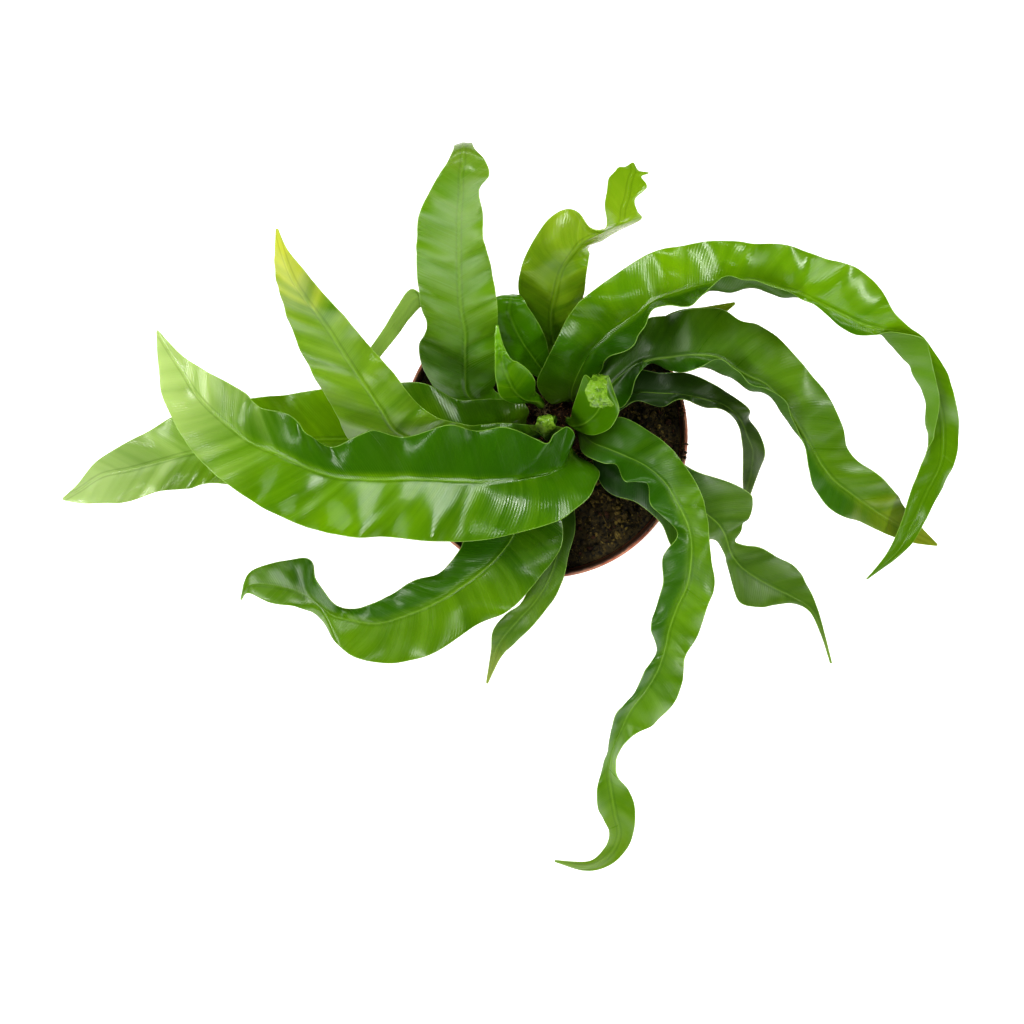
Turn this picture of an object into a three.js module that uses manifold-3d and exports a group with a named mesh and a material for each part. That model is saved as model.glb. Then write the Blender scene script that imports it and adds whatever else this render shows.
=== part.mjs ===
// A bird's nest fern in a round nursery pot.
// Millimetres, +Z up, the origin at the middle of the pot's base.
import * as THREE from 'three';
import { mergeVertices } from 'three/addons/utils/BufferGeometryUtils.js';
import Module from 'manifold-3d';

const wasm = await Module();
wasm.setup();

// Pot: a thin moulded pot with a broad band under its rolled lip.
const potHeight = 115;
const rimRadius = 71.5;
const rimInnerRadius = 69.3;
const rimRound = 1;
const lipDrop = 3.5;
const baseRadius = 50;
const baseRound = 1.5;
const wallThickness = 1.8;
const bandDepth = 17;
const bandStep = 3.2;
const bandRound = 0.6;
const innerStep = 2;
const floorThickness = 2.4;
const drainHoles = 8;
const drainRadius = 4.5;
const drainRing = 36;
const drainSides = 12;
const potSides = 56;

// Soil: fills the pot to just under the lip, with a lumpy top.
const fitGap = 0.3;
const soilTop = 108.5;
const soilLump = 1.1;
const soilCalmEdge = 8;
const soilRings = 7;
const soilSides = 40;

// Crown: the scaly rootstock that the stems grow from.
const crownX = 8;
const crownY = 8;
const crownRadius = 26;
const crownFoot = 97;
const crownTop = 118;
const crownSides = 32;
const scaleCount = 20;
const scaleRadius = 1.6;
const scaleLength = 7;
const scaleLean = 0.5;
const scaleDepth = 7.5;

// Stems and blades.
const stemFoot = 108;
const stemNeck = 119;
const stemHalfWidth = 2.1;
const holeRadius = 3;
const holeSides = 12;
const bladeThickness = 0.85;
const edgeThickness = 0.7;
const ribThickness = 1.7;
const ribExtraAtBase = 1.3;
const ribLossAtTip = 0.7;
const halfSwell = 1.4;
const fullSwellWidth = 20;

// The rows below give places as an eye sees them from this point above the plant:
// a place higher than the rim looks further out than it is.
const eyeX = -16.5;
const eyeY = -38.5;
const eyeAboveRim = 1500;

function truePlace(x, y, z) {
  const pull = 1 - (z - potHeight) / eyeAboveRim;
  return new THREE.Vector3(eyeX + (x - eyeX) * pull, eyeY + (y - eyeY) * pull, z);
}

// Each frond: where its stem stands, the tip, and rows from the base to the tip.
// A row is the midrib [x, y, height], the left edge and the right edge [x, y, rise over the midrib].
// Where a half curls over, a fourth (left) or fifth (right) entry gives its bend in the same way.
const fronds = [
  {
    name: 'frond_a', colour: 0x5d9a14, stem: [9, -4], tip: [-194, 52, 210], rows: [
      [[12, -8, 124], [17, -11, 0], [9, -6, 2]],
      [[9, -16, 131], [27, -18, 1], [15, -1, 11]],
      [[5, -18, 134], [25, -25, 2], [11, 4, 13]],
      [[0, -20, 137], [22, -31, 3], [5, 1, 14]],
      [[-7, -21, 140], [15, -37, 2], [1, -4, 12]],
      [[-14, -22, 144], [6, -43, 1], [-5, -2, 9]],
      [[-28, -23, 151], [-18, -50, 0], [-19, 4, 12]],
      [[-42, -23, 158], [-38, -53, -4], [-34, 2, 6]],
      [[-58, -22, 165], [-58, -53, 2], [-48, 5, 12]],
      [[-74, -22, 172], [-78, -51, -3], [-70, -1, 4]],
      [[-90, -22, 178], [-96, -51, 2], [-88, 2, 12]],
      [[-104, -21, 184], [-112, -48, -4], [-106, -6, 3]],
      [[-117, -17, 189], [-127, -43, 2], [-119, 1, 10]],
      [[-132, -10, 194], [-143, -35, -3], [-128, 10, 4]],
      [[-148, -3, 199], [-158, -25, 2], [-143, 14, 7]],
      [[-162, 8, 203], [-172, -13, 0], [-150, 21, 3]],
      [[-174, 20, 206], [-183, 2, 2], [-166, 30, 4]],
      [[-182, 33, 208], [-191, 19, 2], [-178, 37, 3]],
      [[-188, 42, 209], [-193, 31, 1], [-186, 44, 2]],
    ],
  },
  {
    name: 'frond_b', colour: 0x55901a, stem: [-11, 5], tip: [-241, -32, 138], rows: [
      [[-15, 5, 124], [-13, -4, 0], [-8, 12, 2]],
      [[-21, 4, 127], [-19, -9, 1], [-13, 17, 2]],
      [[-30, 3, 129], [-28, -13, 1], [-27, 18, 2]],
      [[-47, -1, 132], [-47, -22, 2], [-44, 18, 1]],
      [[-67, -2, 136], [-67, -25, -3], [-62, 26, 3]],
      [[-87, -2, 139], [-87, -26, 2], [-84, 25, 0]],
      [[-107, -2, 141], [-107, -27, -3], [-110, 23, 3]],
      [[-127, -3, 143], [-127, -27, 2], [-130, 20, 0]],
      [[-147, -5, 144], [-149, -26, -2], [-149, 18, 3]],
      [[-163, -7, 144], [-167, -24, 3], [-168, 14, 0]],
      [[-177, -9, 143], [-179, -27, -2], [-184, 10, 3]],
      [[-192, -13, 142], [-193, -28, 1], [-198, 2, 0]],
      [[-207, -17, 141], [-207, -33, -2], [-213, -6, 2]],
      [[-221, -20, 140], [-220, -34, 0], [-225, -14, 1]],
      [[-232, -27, 139], [-232, -34, 0], [-234, -25, 1]],
    ],
  },
  {
    name: 'frond_c', colour: 0x6a9e2c, stem: [-2, 2], tip: [-134, 103, 256], rows: [
      [[-10, -1, 130], [-10, -6, 0], [-8, 5, 1]],
      [[-28, -5, 138], [-32, -15, 0], [-22, 6, 1]],
      [[-50, -6, 147], [-62, -18, -2], [-36, 5, 0]],
      [[-73, 1, 157], [-95, -5, -2], [-52, 8, 2]],
      [[-82, 13, 168], [-104, 10, 2], [-64, 16, -2]],
      [[-92, 28, 182], [-114, 27, 0], [-76, 31, 2]],
      [[-102, 43, 197], [-122, 42, 2], [-90, 47, -2]],
      [[-111, 57, 211], [-128, 57, 0], [-101, 60, 2]],
      [[-119, 67, 223], [-132, 69, 1], [-112, 72, 0]],
      [[-126, 78, 236], [-135, 82, 1], [-121, 83, 1]],
      [[-131, 91, 248], [-135, 93, 1], [-129, 93, 1]],
    ],
  },
  {
    name: 'frond_d', colour: 0x55901a, stem: [-11, 13], tip: [-41, 143, 247], rows: [
      [[-18, 13, 121], [-18, 9, 0], [-16, 17, 0]],
      [[-31, 14, 121], [-34, 6, 0], [-25, 22, 1]],
      [[-39, 21, 126], [-50, 16, -2], [-25, 26, 2]],
      [[-40, 32, 138], [-60, 32, -2], [-24, 36, 4]],
      [[-40, 42, 152], [-63, 44, 4], [-25, 44, 1]],
      [[-40, 52, 166], [-59, 54, 2], [-24, 54, -2]],
      [[-42, 64, 183], [-62, 65, -2], [-24, 65, 5]],
      [[-43, 82, 208], [-64, 82, 4], [-27, 84, -3]],
      [[-43, 98, 230], [-64, 98, -2], [-31, 99, 4]],
      [[-43, 110, 246], [-63, 110, 3], [-31, 110, -3]],
      [[-42, 121, 258], [-58, 121, 0], [-33, 122, 2]],
      [[-42, 130, 266], [-53, 130, 0], [-28, 130, 4]],
      [[-41, 137, 270], [-49, 136, 0], [-30, 137, 1]],
      [[-41, 143, 270], [-46, 142, -1], [-35, 143, -1]],
      [[-41, 146, 262], [-45, 145, 0], [-37, 146, 0]],
    ],
  },
  {
    name: 'frond_e', colour: 0x6b9a4a, stem: [-6, 22], tip: [-97, 25, 146], rows: [
      [[-13, 28, 123], [-16, 25, 0], [-10, 31, 0]],
      [[-28, 40, 130], [-33, 33, 0], [-23, 47, 0]],
      [[-44, 53, 138], [-46, 47, -4], [-41, 59, 4]],
      [[-55, 64, 145], [-55, 61, 6], [-55, 67, -6]],
      [[-64, 69, 150], [-66, 73, 2], [-62, 64, -2]],
      [[-71, 61, 153], [-74, 64, 1], [-68, 58, -1]],
      [[-77, 53, 153], [-80, 54, 0], [-73, 51, 0]],
      [[-84, 43, 151], [-87, 44, 0], [-81, 41, 0]],
      [[-91, 33, 148], [-94, 34, 0], [-89, 31, 0]],
    ],
  },
  {
    name: 'frond_f', colour: 0x3f7d12, stem: [3, 27], tip: [-16, 70, 147], rows: [
      [[0, 31, 123], [-4, 29, 0], [4, 33, 0]],
      [[-6, 39, 130], [-15, 36, 0], [2, 41, 2]],
      [[-12, 48, 139], [-24, 46, -2], [0, 49, 1]],
      [[-16, 56, 148], [-29, 56, -1], [-4, 57, 0]],
      [[-18, 62, 155], [-29, 64, 0], [-8, 63, 0]],
      [[-17, 68, 158], [-25, 69, -1], [-11, 68, -1]],
      [[-16, 70, 154], [-20, 70, 0], [-13, 70, 0]],
    ],
  },
  {
    name: 'frond_g', colour: 0x5c9618, stem: [13, 27], tip: [44, 136, 168], rows: [
      [[11, 33, 121], [7, 32, 0], [16, 35, 0]],
      [[5, 44, 127], [-2, 44, -2], [11, 47, 0]],
      [[3, 58, 137], [-6, 60, -3], [14, 58, 2]],
      [[5, 70, 147], [-13, 71, -2], [19, 70, -2]],
      [[8, 82, 158], [-12, 83, 3], [21, 83, 3]],
      [[13, 90, 167], [-7, 95, 0], [22, 90, -6]],
      [[17, 95, 173], [2, 108, 2], [22, 93, -12]],
      [[21, 98, 178], [13, 113, 4], [25, 96, -13]],
      [[27, 101, 182], [22, 104, 10], [31, 99, -13]],
      [[33, 104, 184], [29, 103, 11], [37, 102, -13]],
      [[38, 107, 183], [31, 107, 7], [48, 108, -8]],
      [[39, 113, 180], [30, 115, 2], [46, 112, -2]],
      [[41, 119, 177], [31, 122, 0], [45, 118, 0]],
      [[42, 125, 174], [32, 128, 0], [51, 124, 0]],
      [[43, 129, 172], [35, 132, 0], [48, 129, 0]],
      [[44, 131, 171], [37, 134, 0], [52, 131, 0]],
      [[44, 133, 170], [40, 134, 0], [47, 132, 0]],
    ],
  },
  {
    name: 'frond_h', colour: 0x61a012, stem: [14, 18], tip: [161, -72, 110], rows: [
      [[13, 19, 125], [3, 16, 1], [19, 19, 1]],
      [[14, 25, 131], [-4, 25, 3], [22, 25, 2]],
      [[18, 34, 139], [0, 36, 2], [28, 32, 4]],
      [[24, 43, 147], [4, 44, 1], [31, 38, 10]],
      [[34, 52, 155], [11, 58, -2], [43, 44, 12]],
      [[45, 60, 163], [19, 68, 3], [49, 53, 13]],
      [[55, 67, 170], [38, 82, 0], [55, 64, 18]],
      [[68, 72, 176], [53, 91, 3], [69, 64, 16]],
      [[80, 75, 181], [66, 94, -2], [78, 69, 16]],
      [[92, 77, 185], [84, 97, 4], [90, 79, 16], null, [92, 72, 6]],
      [[105, 77, 188], [102, 96, -2], [104, 77, 14], null, [106, 73, 5]],
      [[120, 73, 190], [120, 95, 3], [121, 72, 8], null, [119, 69, 4]],
      [[129, 70, 191], [132, 91, -2], [128, 68, 2]],
      [[137, 66, 191], [141, 88, 1], [135, 65, 0]],
      [[143, 63, 191], [149, 86, 3], [141, 60, -1]],
      [[151, 59, 190], [158, 82, 1], [148, 54, -1]],
      [[160, 55, 188], [168, 73, -2], [156, 50, -1]],
      [[168, 53, 186], [174, 62, 2], [165, 50, 1]],
      [[177, 52, 183], [182, 54, 1], [174, 51, 8], null, [170, 48, 2]],
      [[185, 47, 179], [189, 49, 0], [189, 48, 9], null, [175, 43, 3]],
      [[190, 40, 174], [195, 41, -1], [192, 42, 10], null, [179, 38, 4]],
      [[193, 31, 168], [201, 31, -2], [194, 33, 9], null, [184, 31, 4]],
      [[197, 17, 157], [205, 18, 2], [197, 19, 8], null, [190, 17, 2]],
      [[199, 3, 146], [207, 4, -2], [195, 2, 7], null, [191, 2, 1]],
      [[198, -13, 136], [205, -13, 1], [189, -13, 3]],
      [[191, -28, 128], [198, -27, -2], [183, -28, 0]],
      [[184, -43, 122], [190, -43, 1], [178, -44, 0]],
      [[176, -58, 117], [181, -57, 0], [171, -59, 0]],
    ],
  },
  {
    name: 'frond_i', colour: 0x3c7810, stem: [20, 11], tip: [196, -55, 98], rows: [
      [[26, 16, 129], [23, 19, 0], [29, 13, 0]],
      [[34, 26, 135], [29, 35, 0], [40, 15, 1]],
      [[45, 35, 141], [42, 50, 1], [46, 29, 6]],
      [[53, 38, 145], [51, 58, 3], [53, 36, -7]],
      [[62, 39, 148], [62, 60, -2], [63, 32, -6]],
      [[73, 40, 152], [74, 63, 3], [73, 32, 4]],
      [[86, 39, 155], [88, 63, -2], [87, 38, 10], null, [86, 32, 4]],
      [[96, 33, 157], [98, 57, 2], [96, 32, 9], null, [95, 27, 3]],
      [[103, 29, 158], [107, 55, 1], [102, 26, 8], null, [102, 23, 3]],
      [[111, 25, 158], [117, 48, -2], [111, 23, 6], null, [110, 21, 3]],
      [[120, 15, 157], [130, 34, 2], [120, 17, 7], null, [116, 15, 3]],
      [[127, 4, 154], [141, 20, -2], [125, 5, 4], null, [124, 3, 0]],
      [[133, -6, 151], [149, 4, 2], [130, -6, 2]],
      [[139, -16, 146], [151, -7, -2], [132, -17, 1]],
      [[145, -23, 140], [158, -14, -1], [135, -27, -1]],
      [[154, -30, 132], [168, -21, 2], [144, -38, 1]],
      [[165, -38, 122], [176, -30, -2], [159, -44, -1]],
      [[176, -45, 112], [181, -38, 0], [172, -50, 0]],
      [[187, -51, 104], [189, -47, 0], [185, -54, 0]],
    ],
  },
  {
    name: 'frond_j', colour: 0x3b6a1f, stem: [27, 11], tip: [101, -33, 86], rows: [
      [[34, 16, 122], [31, 21, 0], [37, 12, 0]],
      [[45, 21, 126], [44, 32, 1], [46, 17, 1]],
      [[58, 21, 128], [58, 31, 3], [58, 14, -2]],
      [[69, 20, 129], [71, 31, -2], [68, 18, 3]],
      [[80, 18, 128], [83, 26, 2], [79, 14, -2]],
      [[89, 15, 126], [93, 20, -2], [88, 13, 2]],
      [[96, 10, 122], [102, 13, 2], [94, 9, -1]],
      [[99, 5, 118], [102, 8, -2], [97, 4, 0]],
      [[101, 0, 114], [107, 1, 0], [98, 0, 0]],
      [[104, -8, 107], [110, -9, 2], [99, -8, 0]],
      [[103, -18, 98], [107, -18, -1], [99, -17, 1]],
      [[101, -26, 92], [104, -26, 0], [99, -25, 0]],
    ],
  },
  {
    name: 'frond_k', colour: 0x6f9c2a, stem: [22, 21], tip: [95, 66, 138], rows: [
      [[28, 27, 124], [25, 30, 0], [31, 25, 0]],
      [[42, 39, 131], [38, 46, 0], [46, 33, 0]],
      [[56, 47, 134], [52, 55, 0], [60, 39, 0]],
      [[69, 55, 136], [66, 62, 0], [72, 48, 0]],
      [[82, 61, 138], [80, 64, 0], [85, 57, 0]],
    ],
  },
  {
    name: 'frond_l', colour: 0x4f8418, stem: [26, 0], tip: [143, -114, 64], rows: [
      [[31, -6, 121], [36, -2, 0], [24, -14, 0]],
      [[40, -16, 124], [50, -6, 1], [31, -28, -1]],
      [[53, -24, 127], [62, -10, 2], [46, -34, 0]],
      [[66, -31, 129], [75, -18, 3], [58, -44, 0]],
      [[77, -37, 128], [90, -23, -2], [64, -56, -2]],
      [[84, -42, 123], [102, -29, 1], [75, -55, -2]],
      [[87, -45, 121], [104, -34, 2], [79, -54, -2]],
      [[89, -48, 118], [102, -41, 3], [83, -52, -3]],
      [[90, -50, 116], [99, -44, 3], [86, -53, -3]],
      [[91, -53, 114], [98, -48, 3], [88, -56, -3]],
      [[92, -57, 111], [95, -53, 2], [90, -60, -2]],
      [[94, -61, 107], [99, -55, 3], [91, -65, -3]],
      [[98, -66, 103], [107, -56, 2], [94, -76, 0]],
      [[105, -71, 99], [116, -61, 0], [98, -84, 1]],
      [[114, -76, 96], [125, -66, -1], [109, -86, 1]],
      [[124, -81, 91], [131, -75, 1], [122, -84, -1]],
      [[133, -87, 86], [136, -86, 0], [132, -88, 0]],
      [[139, -100, 76], [140, -100, 0], [138, -100, 0]],
    ],
  },
  {
    name: 'frond_m', colour: 0x5c9a14, stem: [18, 1], tip: [5, -213, 57], rows: [
      [[24, -4, 129], [28, 3, 1], [19, -9, 1]],
      [[32, -7, 136], [37, 9, 1], [29, -14, 1]],
      [[41, -11, 143], [50, 3, -1], [36, -15, -2]],
      [[51, -16, 150], [60, -4, 2], [40, -23, 3]],
      [[60, -24, 156], [69, -14, -2], [51, -24, -3]],
      [[66, -34, 160], [77, -27, 3], [53, -35, 3]],
      [[71, -44, 162], [81, -40, -2], [63, -44, -3]],
      [[73, -53, 163], [82, -51, 2], [66, -51, 4]],
      [[73, -63, 163], [83, -62, -1], [59, -61, -2]],
      [[71, -75, 161], [85, -75, -2], [59, -74, 3]],
      [[66, -86, 157], [81, -86, 3], [55, -88, -3]],
      [[62, -97, 152], [77, -99, -3], [53, -97, 3]],
      [[60, -107, 146], [70, -111, 4], [56, -108, -4]],
      [[56, -118, 139], [69, -121, -3], [50, -118, 3]],
      [[50, -128, 132], [65, -133, 3], [44, -130, -3]],
      [[43, -137, 124], [55, -144, -3], [36, -139, 3]],
      [[38, -147, 116], [43, -151, 4], [33, -148, -3]],
      [[34, -158, 108], [36, -161, 5], [31, -159, -5]],
      [[32, -168, 100], [36, -170, 3], [28, -169, -3]],
      [[33, -178, 93], [42, -178, -1], [26, -178, 1]],
      [[35, -189, 86], [45, -188, 2], [27, -188, -1]],
      [[37, -200, 78], [43, -203, -1], [32, -198, 1]],
      [[32, -210, 70], [34, -214, 0], [30, -206, 0]],
      [[21, -216, 63], [21, -218, 0], [22, -213, 0]],
    ],
  },
  {
    name: 'frond_o', colour: 0x5a9418, stem: [-6, -5], tip: [-152, -82, 103], rows: [
      [[-7, -13, 120], [-3, -14, 0], [-11, -12, 0]],
      [[-9, -26, 123], [2, -28, 0], [-19, -24, 0]],
      [[-12, -40, 126], [8, -43, -1], [-28, -36, 1]],
      [[-18, -54, 128], [8, -56, 1], [-38, -46, -1]],
      [[-29, -66, 129], [-2, -70, -2], [-43, -58, 2]],
      [[-42, -76, 128], [-16, -86, 2], [-53, -69, -1]],
      [[-55, -84, 126], [-34, -95, -2], [-66, -73, 3]],
      [[-69, -90, 123], [-56, -109, 2], [-77, -80, -1]],
      [[-83, -94, 120], [-76, -114, -1], [-88, -85, 3]],
      [[-95, -93, 118], [-95, -111, 2], [-97, -87, -3]],
      [[-106, -90, 117], [-105, -103, 1], [-106, -84, 6]],
      [[-114, -84, 116], [-112, -92, -4], [-114, -73, 10]],
      [[-124, -78, 114], [-123, -86, -2], [-118, -62, 4]],
      [[-137, -75, 111], [-137, -84, 0], [-135, -64, 0]],
      [[-147, -75, 108], [-148, -79, 0], [-148, -69, 0]],
    ],
  },
  {
    name: 'frond_p', colour: 0x7fa22c, stem: [5, -11], tip: [-29, -124, 84], rows: [
      [[6, -19, 119], [9, -19, 0], [2, -19, 0]],
      [[7, -33, 119], [14, -33, 0], [0, -33, 0]],
      [[8, -47, 120], [15, -47, 1], [-2, -48, 0]],
      [[6, -60, 121], [12, -59, 0], [-5, -62, 0]],
      [[2, -72, 120], [9, -72, 1], [-8, -75, -1]],
      [[-5, -83, 117], [3, -84, -1], [-12, -84, 1]],
      [[-13, -92, 112], [-6, -95, 1], [-20, -90, -1]],
      [[-20, -100, 106], [-15, -104, -1], [-26, -98, 1]],
      [[-25, -109, 98], [-22, -111, 0], [-27, -108, 0]],
    ],
  },
];

const youngFronds = [
  {
    name: 'young_frond_1', colour: 0x6fb31c, stem: [-2, 15], tip: [-24, 55, 173], rows: [
      [[-4, 17, 127], [-7, 16, 1], [-3, 20, 1]],
      [[-10, 18, 137], [-16, 16, 3], [-5, 22, 4]],
      [[-15, 22, 146], [-22, 19, 4], [-5, 27, 5]],
      [[-18, 27, 153], [-24, 25, 4], [-8, 32, 5]],
      [[-20, 32, 159], [-25, 31, 3], [-13, 36, 4]],
      [[-21, 37, 164], [-25, 37, 2], [-17, 38, 2]],
      [[-22, 43, 168], [-25, 43, 1], [-20, 43, 0]],
      [[-23, 49, 171], [-25, 49, 0], [-22, 49, 0]],
    ],
  },
  {
    name: 'young_frond_2', colour: 0x6aab1c, stem: [12, 7], tip: [28, 16, 171], rows: [
      [[15, 5, 127], [13, 9, 2], [17, 2, 2]],
      [[20, 6, 137], [14, 14, 4], [24, 0, 3]],
      [[25, 10, 147], [16, 20, 5], [32, 3, 4]],
      [[28, 15, 156], [18, 26, 4], [36, 9, 3]],
      [[29, 20, 163], [20, 30, 2], [37, 14, 1]],
      [[29, 25, 170], [23, 28, 0], [34, 23, 0]],
      [[28, 29, 176], [24, 30, 0], [32, 29, 0]],
      [[28, 29, 181], [24, 30, 0], [31, 29, 0]],
      [[27, 25, 185], [22, 26, 0], [31, 24, 0]],
      [[26, 20, 185], [20, 22, 0], [31, 20, 0]],
      [[27, 16, 181], [22, 17, 0], [33, 17, 0]],
      [[28, 14, 176], [23, 14, 0], [34, 15, 0]],
    ],
  },
  {
    name: 'young_frond_3', colour: 0x78b52a, stem: [4, 8], tip: [0, 9, 143], rows: [
      [[3, 5, 125], [5, 3, 1], [1, 5, 1]],
      [[2, 0, 129], [8, 2, 2], [-5, 2, 2]],
      [[1, -2, 135], [11, 3, 2], [-8, 4, 2]],
      [[0, 0, 141], [8, 4, 1], [-7, 5, 1]],
      [[0, 4, 146], [5, 5, 0], [-5, 5, 0]],
      [[0, 7, 149], [4, 8, 0], [-4, 7, 0]],
      [[0, 9, 147], [3, 10, 0], [-3, 9, 0]],
    ],
  },
];

// Columns across a blade: left edge, left middle, midrib, right middle, right edge.
const columns = 5;
const ribColumn = 2;
const middleRise = 0.35;
const tipHalfWidth = 0.6;
const stepsPerRow = 2;
const sharpestFold = 0.5;

function middleOfHalf(rib, edge, bend) {
  if (bend) {
    return truePlace(bend[0], bend[1], rib[2] + bend[2]);
  }
  const width = Math.hypot(edge[0] - rib[0], edge[1] - rib[1]);
  const swell = halfSwell * Math.min(1, width / fullSwellWidth);
  return truePlace((rib[0] + edge[0]) / 2, (rib[1] + edge[1]) / 2, rib[2] + middleRise * edge[2] + swell);
}

function placesAcross([rib, left, right, leftBend, rightBend]) {
  return [
    truePlace(left[0], left[1], rib[2] + left[2]),
    middleOfHalf(rib, left, leftBend),
    truePlace(...rib),
    middleOfHalf(rib, right, rightBend),
    truePlace(right[0], right[1], rib[2] + right[2]),
  ];
}

// A narrow row of the given half width, set across the blade as its neighbour row is.
function narrowRow(centre, neighbour, halfWidth, level) {
  const across = neighbour[columns - 1].clone().sub(neighbour[0]);
  if (level) {
    across.z = 0;
  }
  across.normalize();
  const row = [];
  for (let j = 0; j < columns; j += 1) {
    const share = (j - ribColumn) / ribColumn;
    row.push(centre.clone().addScaledVector(across, share * halfWidth));
  }
  return row;
}

function smoothRows(rows) {
  const curves = [];
  for (let j = 0; j < columns; j += 1) {
    curves.push(rows.map((row) => row[j]));
  }
  const fine = [rows[0]];
  for (let i = 1; i < rows.length - 1; i += 1) {
    for (let k = 0; k < stepsPerRow; k += 1) {
      fine.push(curves.map((points) => catmullRom(points, i, k / stepsPerRow)));
    }
  }
  fine.push(rows[rows.length - 1]);
  return fine;
}

function catmullRom(points, i, t) {
  const p0 = points[Math.max(i - 1, 0)];
  const p1 = points[i];
  const p2 = points[i + 1];
  const p3 = points[Math.min(i + 2, points.length - 1)];
  const place = new THREE.Vector3();
  for (const axis of ['x', 'y', 'z']) {
    const a = 2 * p1[axis];
    const b = (p2[axis] - p0[axis]) * t;
    const c = (2 * p0[axis] - 5 * p1[axis] + 4 * p2[axis] - p3[axis]) * t * t;
    const d = (3 * p1[axis] - p0[axis] - 3 * p2[axis] + p3[axis]) * t * t * t;
    place[axis] = (a + b + c + d) / 2;
  }
  return place;
}

function frondRows(frond) {
  const [stemX, stemY] = frond.stem;
  const blade = frond.rows.map(placesAcross);
  const foot = narrowRow(new THREE.Vector3(stemX, stemY, stemFoot), blade[0], stemHalfWidth, true);
  const neck = narrowRow(new THREE.Vector3(stemX, stemY, stemNeck), blade[0], stemHalfWidth, true);
  const tip = narrowRow(truePlace(...frond.tip), blade[blade.length - 1], tipHalfWidth, false);
  return smoothRows([foot, neck, ...blade, tip]);
}

function thicknessAt(i, j, rowCount) {
  const toTip = i / (rowCount - 1);
  if (j === ribColumn) {
    return ribThickness + ribExtraAtBase * (1 - toTip) ** 3 - ribLossAtTip * toTip;
  }
  return j === 0 || j === columns - 1 ? edgeThickness : bladeThickness;
}

// The way out of the blade's face at one place. At a fold it is the bisector of both sides,
// made longer so that the blade keeps its thickness there.
function sideways(rows, i, j) {
  const along = rows[Math.min(i + 1, rows.length - 1)][j].clone().sub(rows[Math.max(i - 1, 0)][j]);
  const faceBetween = (a, b) => rows[i][b].clone().sub(rows[i][a]).cross(along).normalize();
  const before = faceBetween(Math.max(j - 1, 0), Math.max(j, 1));
  const after = faceBetween(Math.min(j, columns - 2), Math.min(j + 1, columns - 1));
  const middle = before.clone().add(after).normalize();
  return middle.divideScalar(Math.max(sharpestFold, middle.dot(before)));
}

// A closed blade: the rows moved half the thickness to each side, split alike on both faces.
function bladeGeometry(rows) {
  const rowCount = rows.length;
  const half = rowCount * columns;
  const positions = new Float32Array(half * 2 * 3);
  for (let i = 0; i < rowCount; i += 1) {
    for (let j = 0; j < columns; j += 1) {
      const offset = sideways(rows, i, j).multiplyScalar(thicknessAt(i, j, rowCount) / 2);
      const upper = rows[i][j].clone().add(offset);
      const lower = rows[i][j].clone().sub(offset);
      upper.toArray(positions, (i * columns + j) * 3);
      lower.toArray(positions, (half + i * columns + j) * 3);
    }
  }
  const index = [];
  const quad = (a, b, c, d) => index.push(a, b, c, a, c, d);
  for (let i = 0; i < rowCount - 1; i += 1) {
    for (let j = 0; j < columns - 1; j += 1) {
      const a = i * columns + j;
      const b = a + 1;
      const c = a + columns + 1;
      const d = a + columns;
      quad(a, b, c, d);
      index.push(half + a, half + c, half + b, half + a, half + d, half + c);
    }
    const left = i * columns;
    const right = left + columns - 1;
    quad(left, left + columns, half + left + columns, half + left);
    quad(right, half + right, half + right + columns, right + columns);
  }
  const last = (rowCount - 1) * columns;
  for (let j = 0; j < columns - 1; j += 1) {
    quad(j, half + j, half + j + 1, j + 1);
    quad(last + j, last + j + 1, half + last + j + 1, half + last + j);
  }
  const geometry = new THREE.BufferGeometry();
  geometry.setAttribute('position', new THREE.BufferAttribute(positions, 3));
  geometry.setIndex(index);
  return geometry;
}

function toSolid(geometry) {
  const bare = geometry.clone();
  bare.deleteAttribute('normal');
  bare.deleteAttribute('uv');
  const merged = mergeVertices(bare, 1e-4);
  return new wasm.Manifold(new wasm.Mesh({
    numProp: 3,
    vertProperties: new Float32Array(merged.attributes.position.array),
    triVerts: new Uint32Array(merged.index.array),
  }));
}

function fromSolid(solid) {
  const mesh = solid.getMesh();
  const geometry = new THREE.BufferGeometry();
  geometry.setAttribute('position', new THREE.BufferAttribute(mesh.vertProperties, 3));
  geometry.setIndex(new THREE.BufferAttribute(mesh.triVerts, 1));
  return geometry;
}

// A lathe profile is a list of [radius, height], turned round the Z axis.
function turned(profile, sides) {
  const points = profile.map(([radius, height]) => new THREE.Vector2(radius, height));
  const geometry = new THREE.LatheGeometry(points, sides);
  geometry.rotateX(Math.PI / 2);
  return geometry;
}

function uprightRod(x, y, radius, from, to, sides) {
  const geometry = new THREE.CylinderGeometry(radius, radius, to - from, sides);
  geometry.rotateX(Math.PI / 2);
  geometry.translate(x, y, (from + to) / 2);
  return geometry;
}

const wallTopRadius = rimRadius - bandStep - bandRound;
const bandFoot = potHeight - bandDepth;

function outerRadiusAt(height) {
  return baseRadius + (wallTopRadius - baseRadius) * (height / bandFoot);
}

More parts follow.
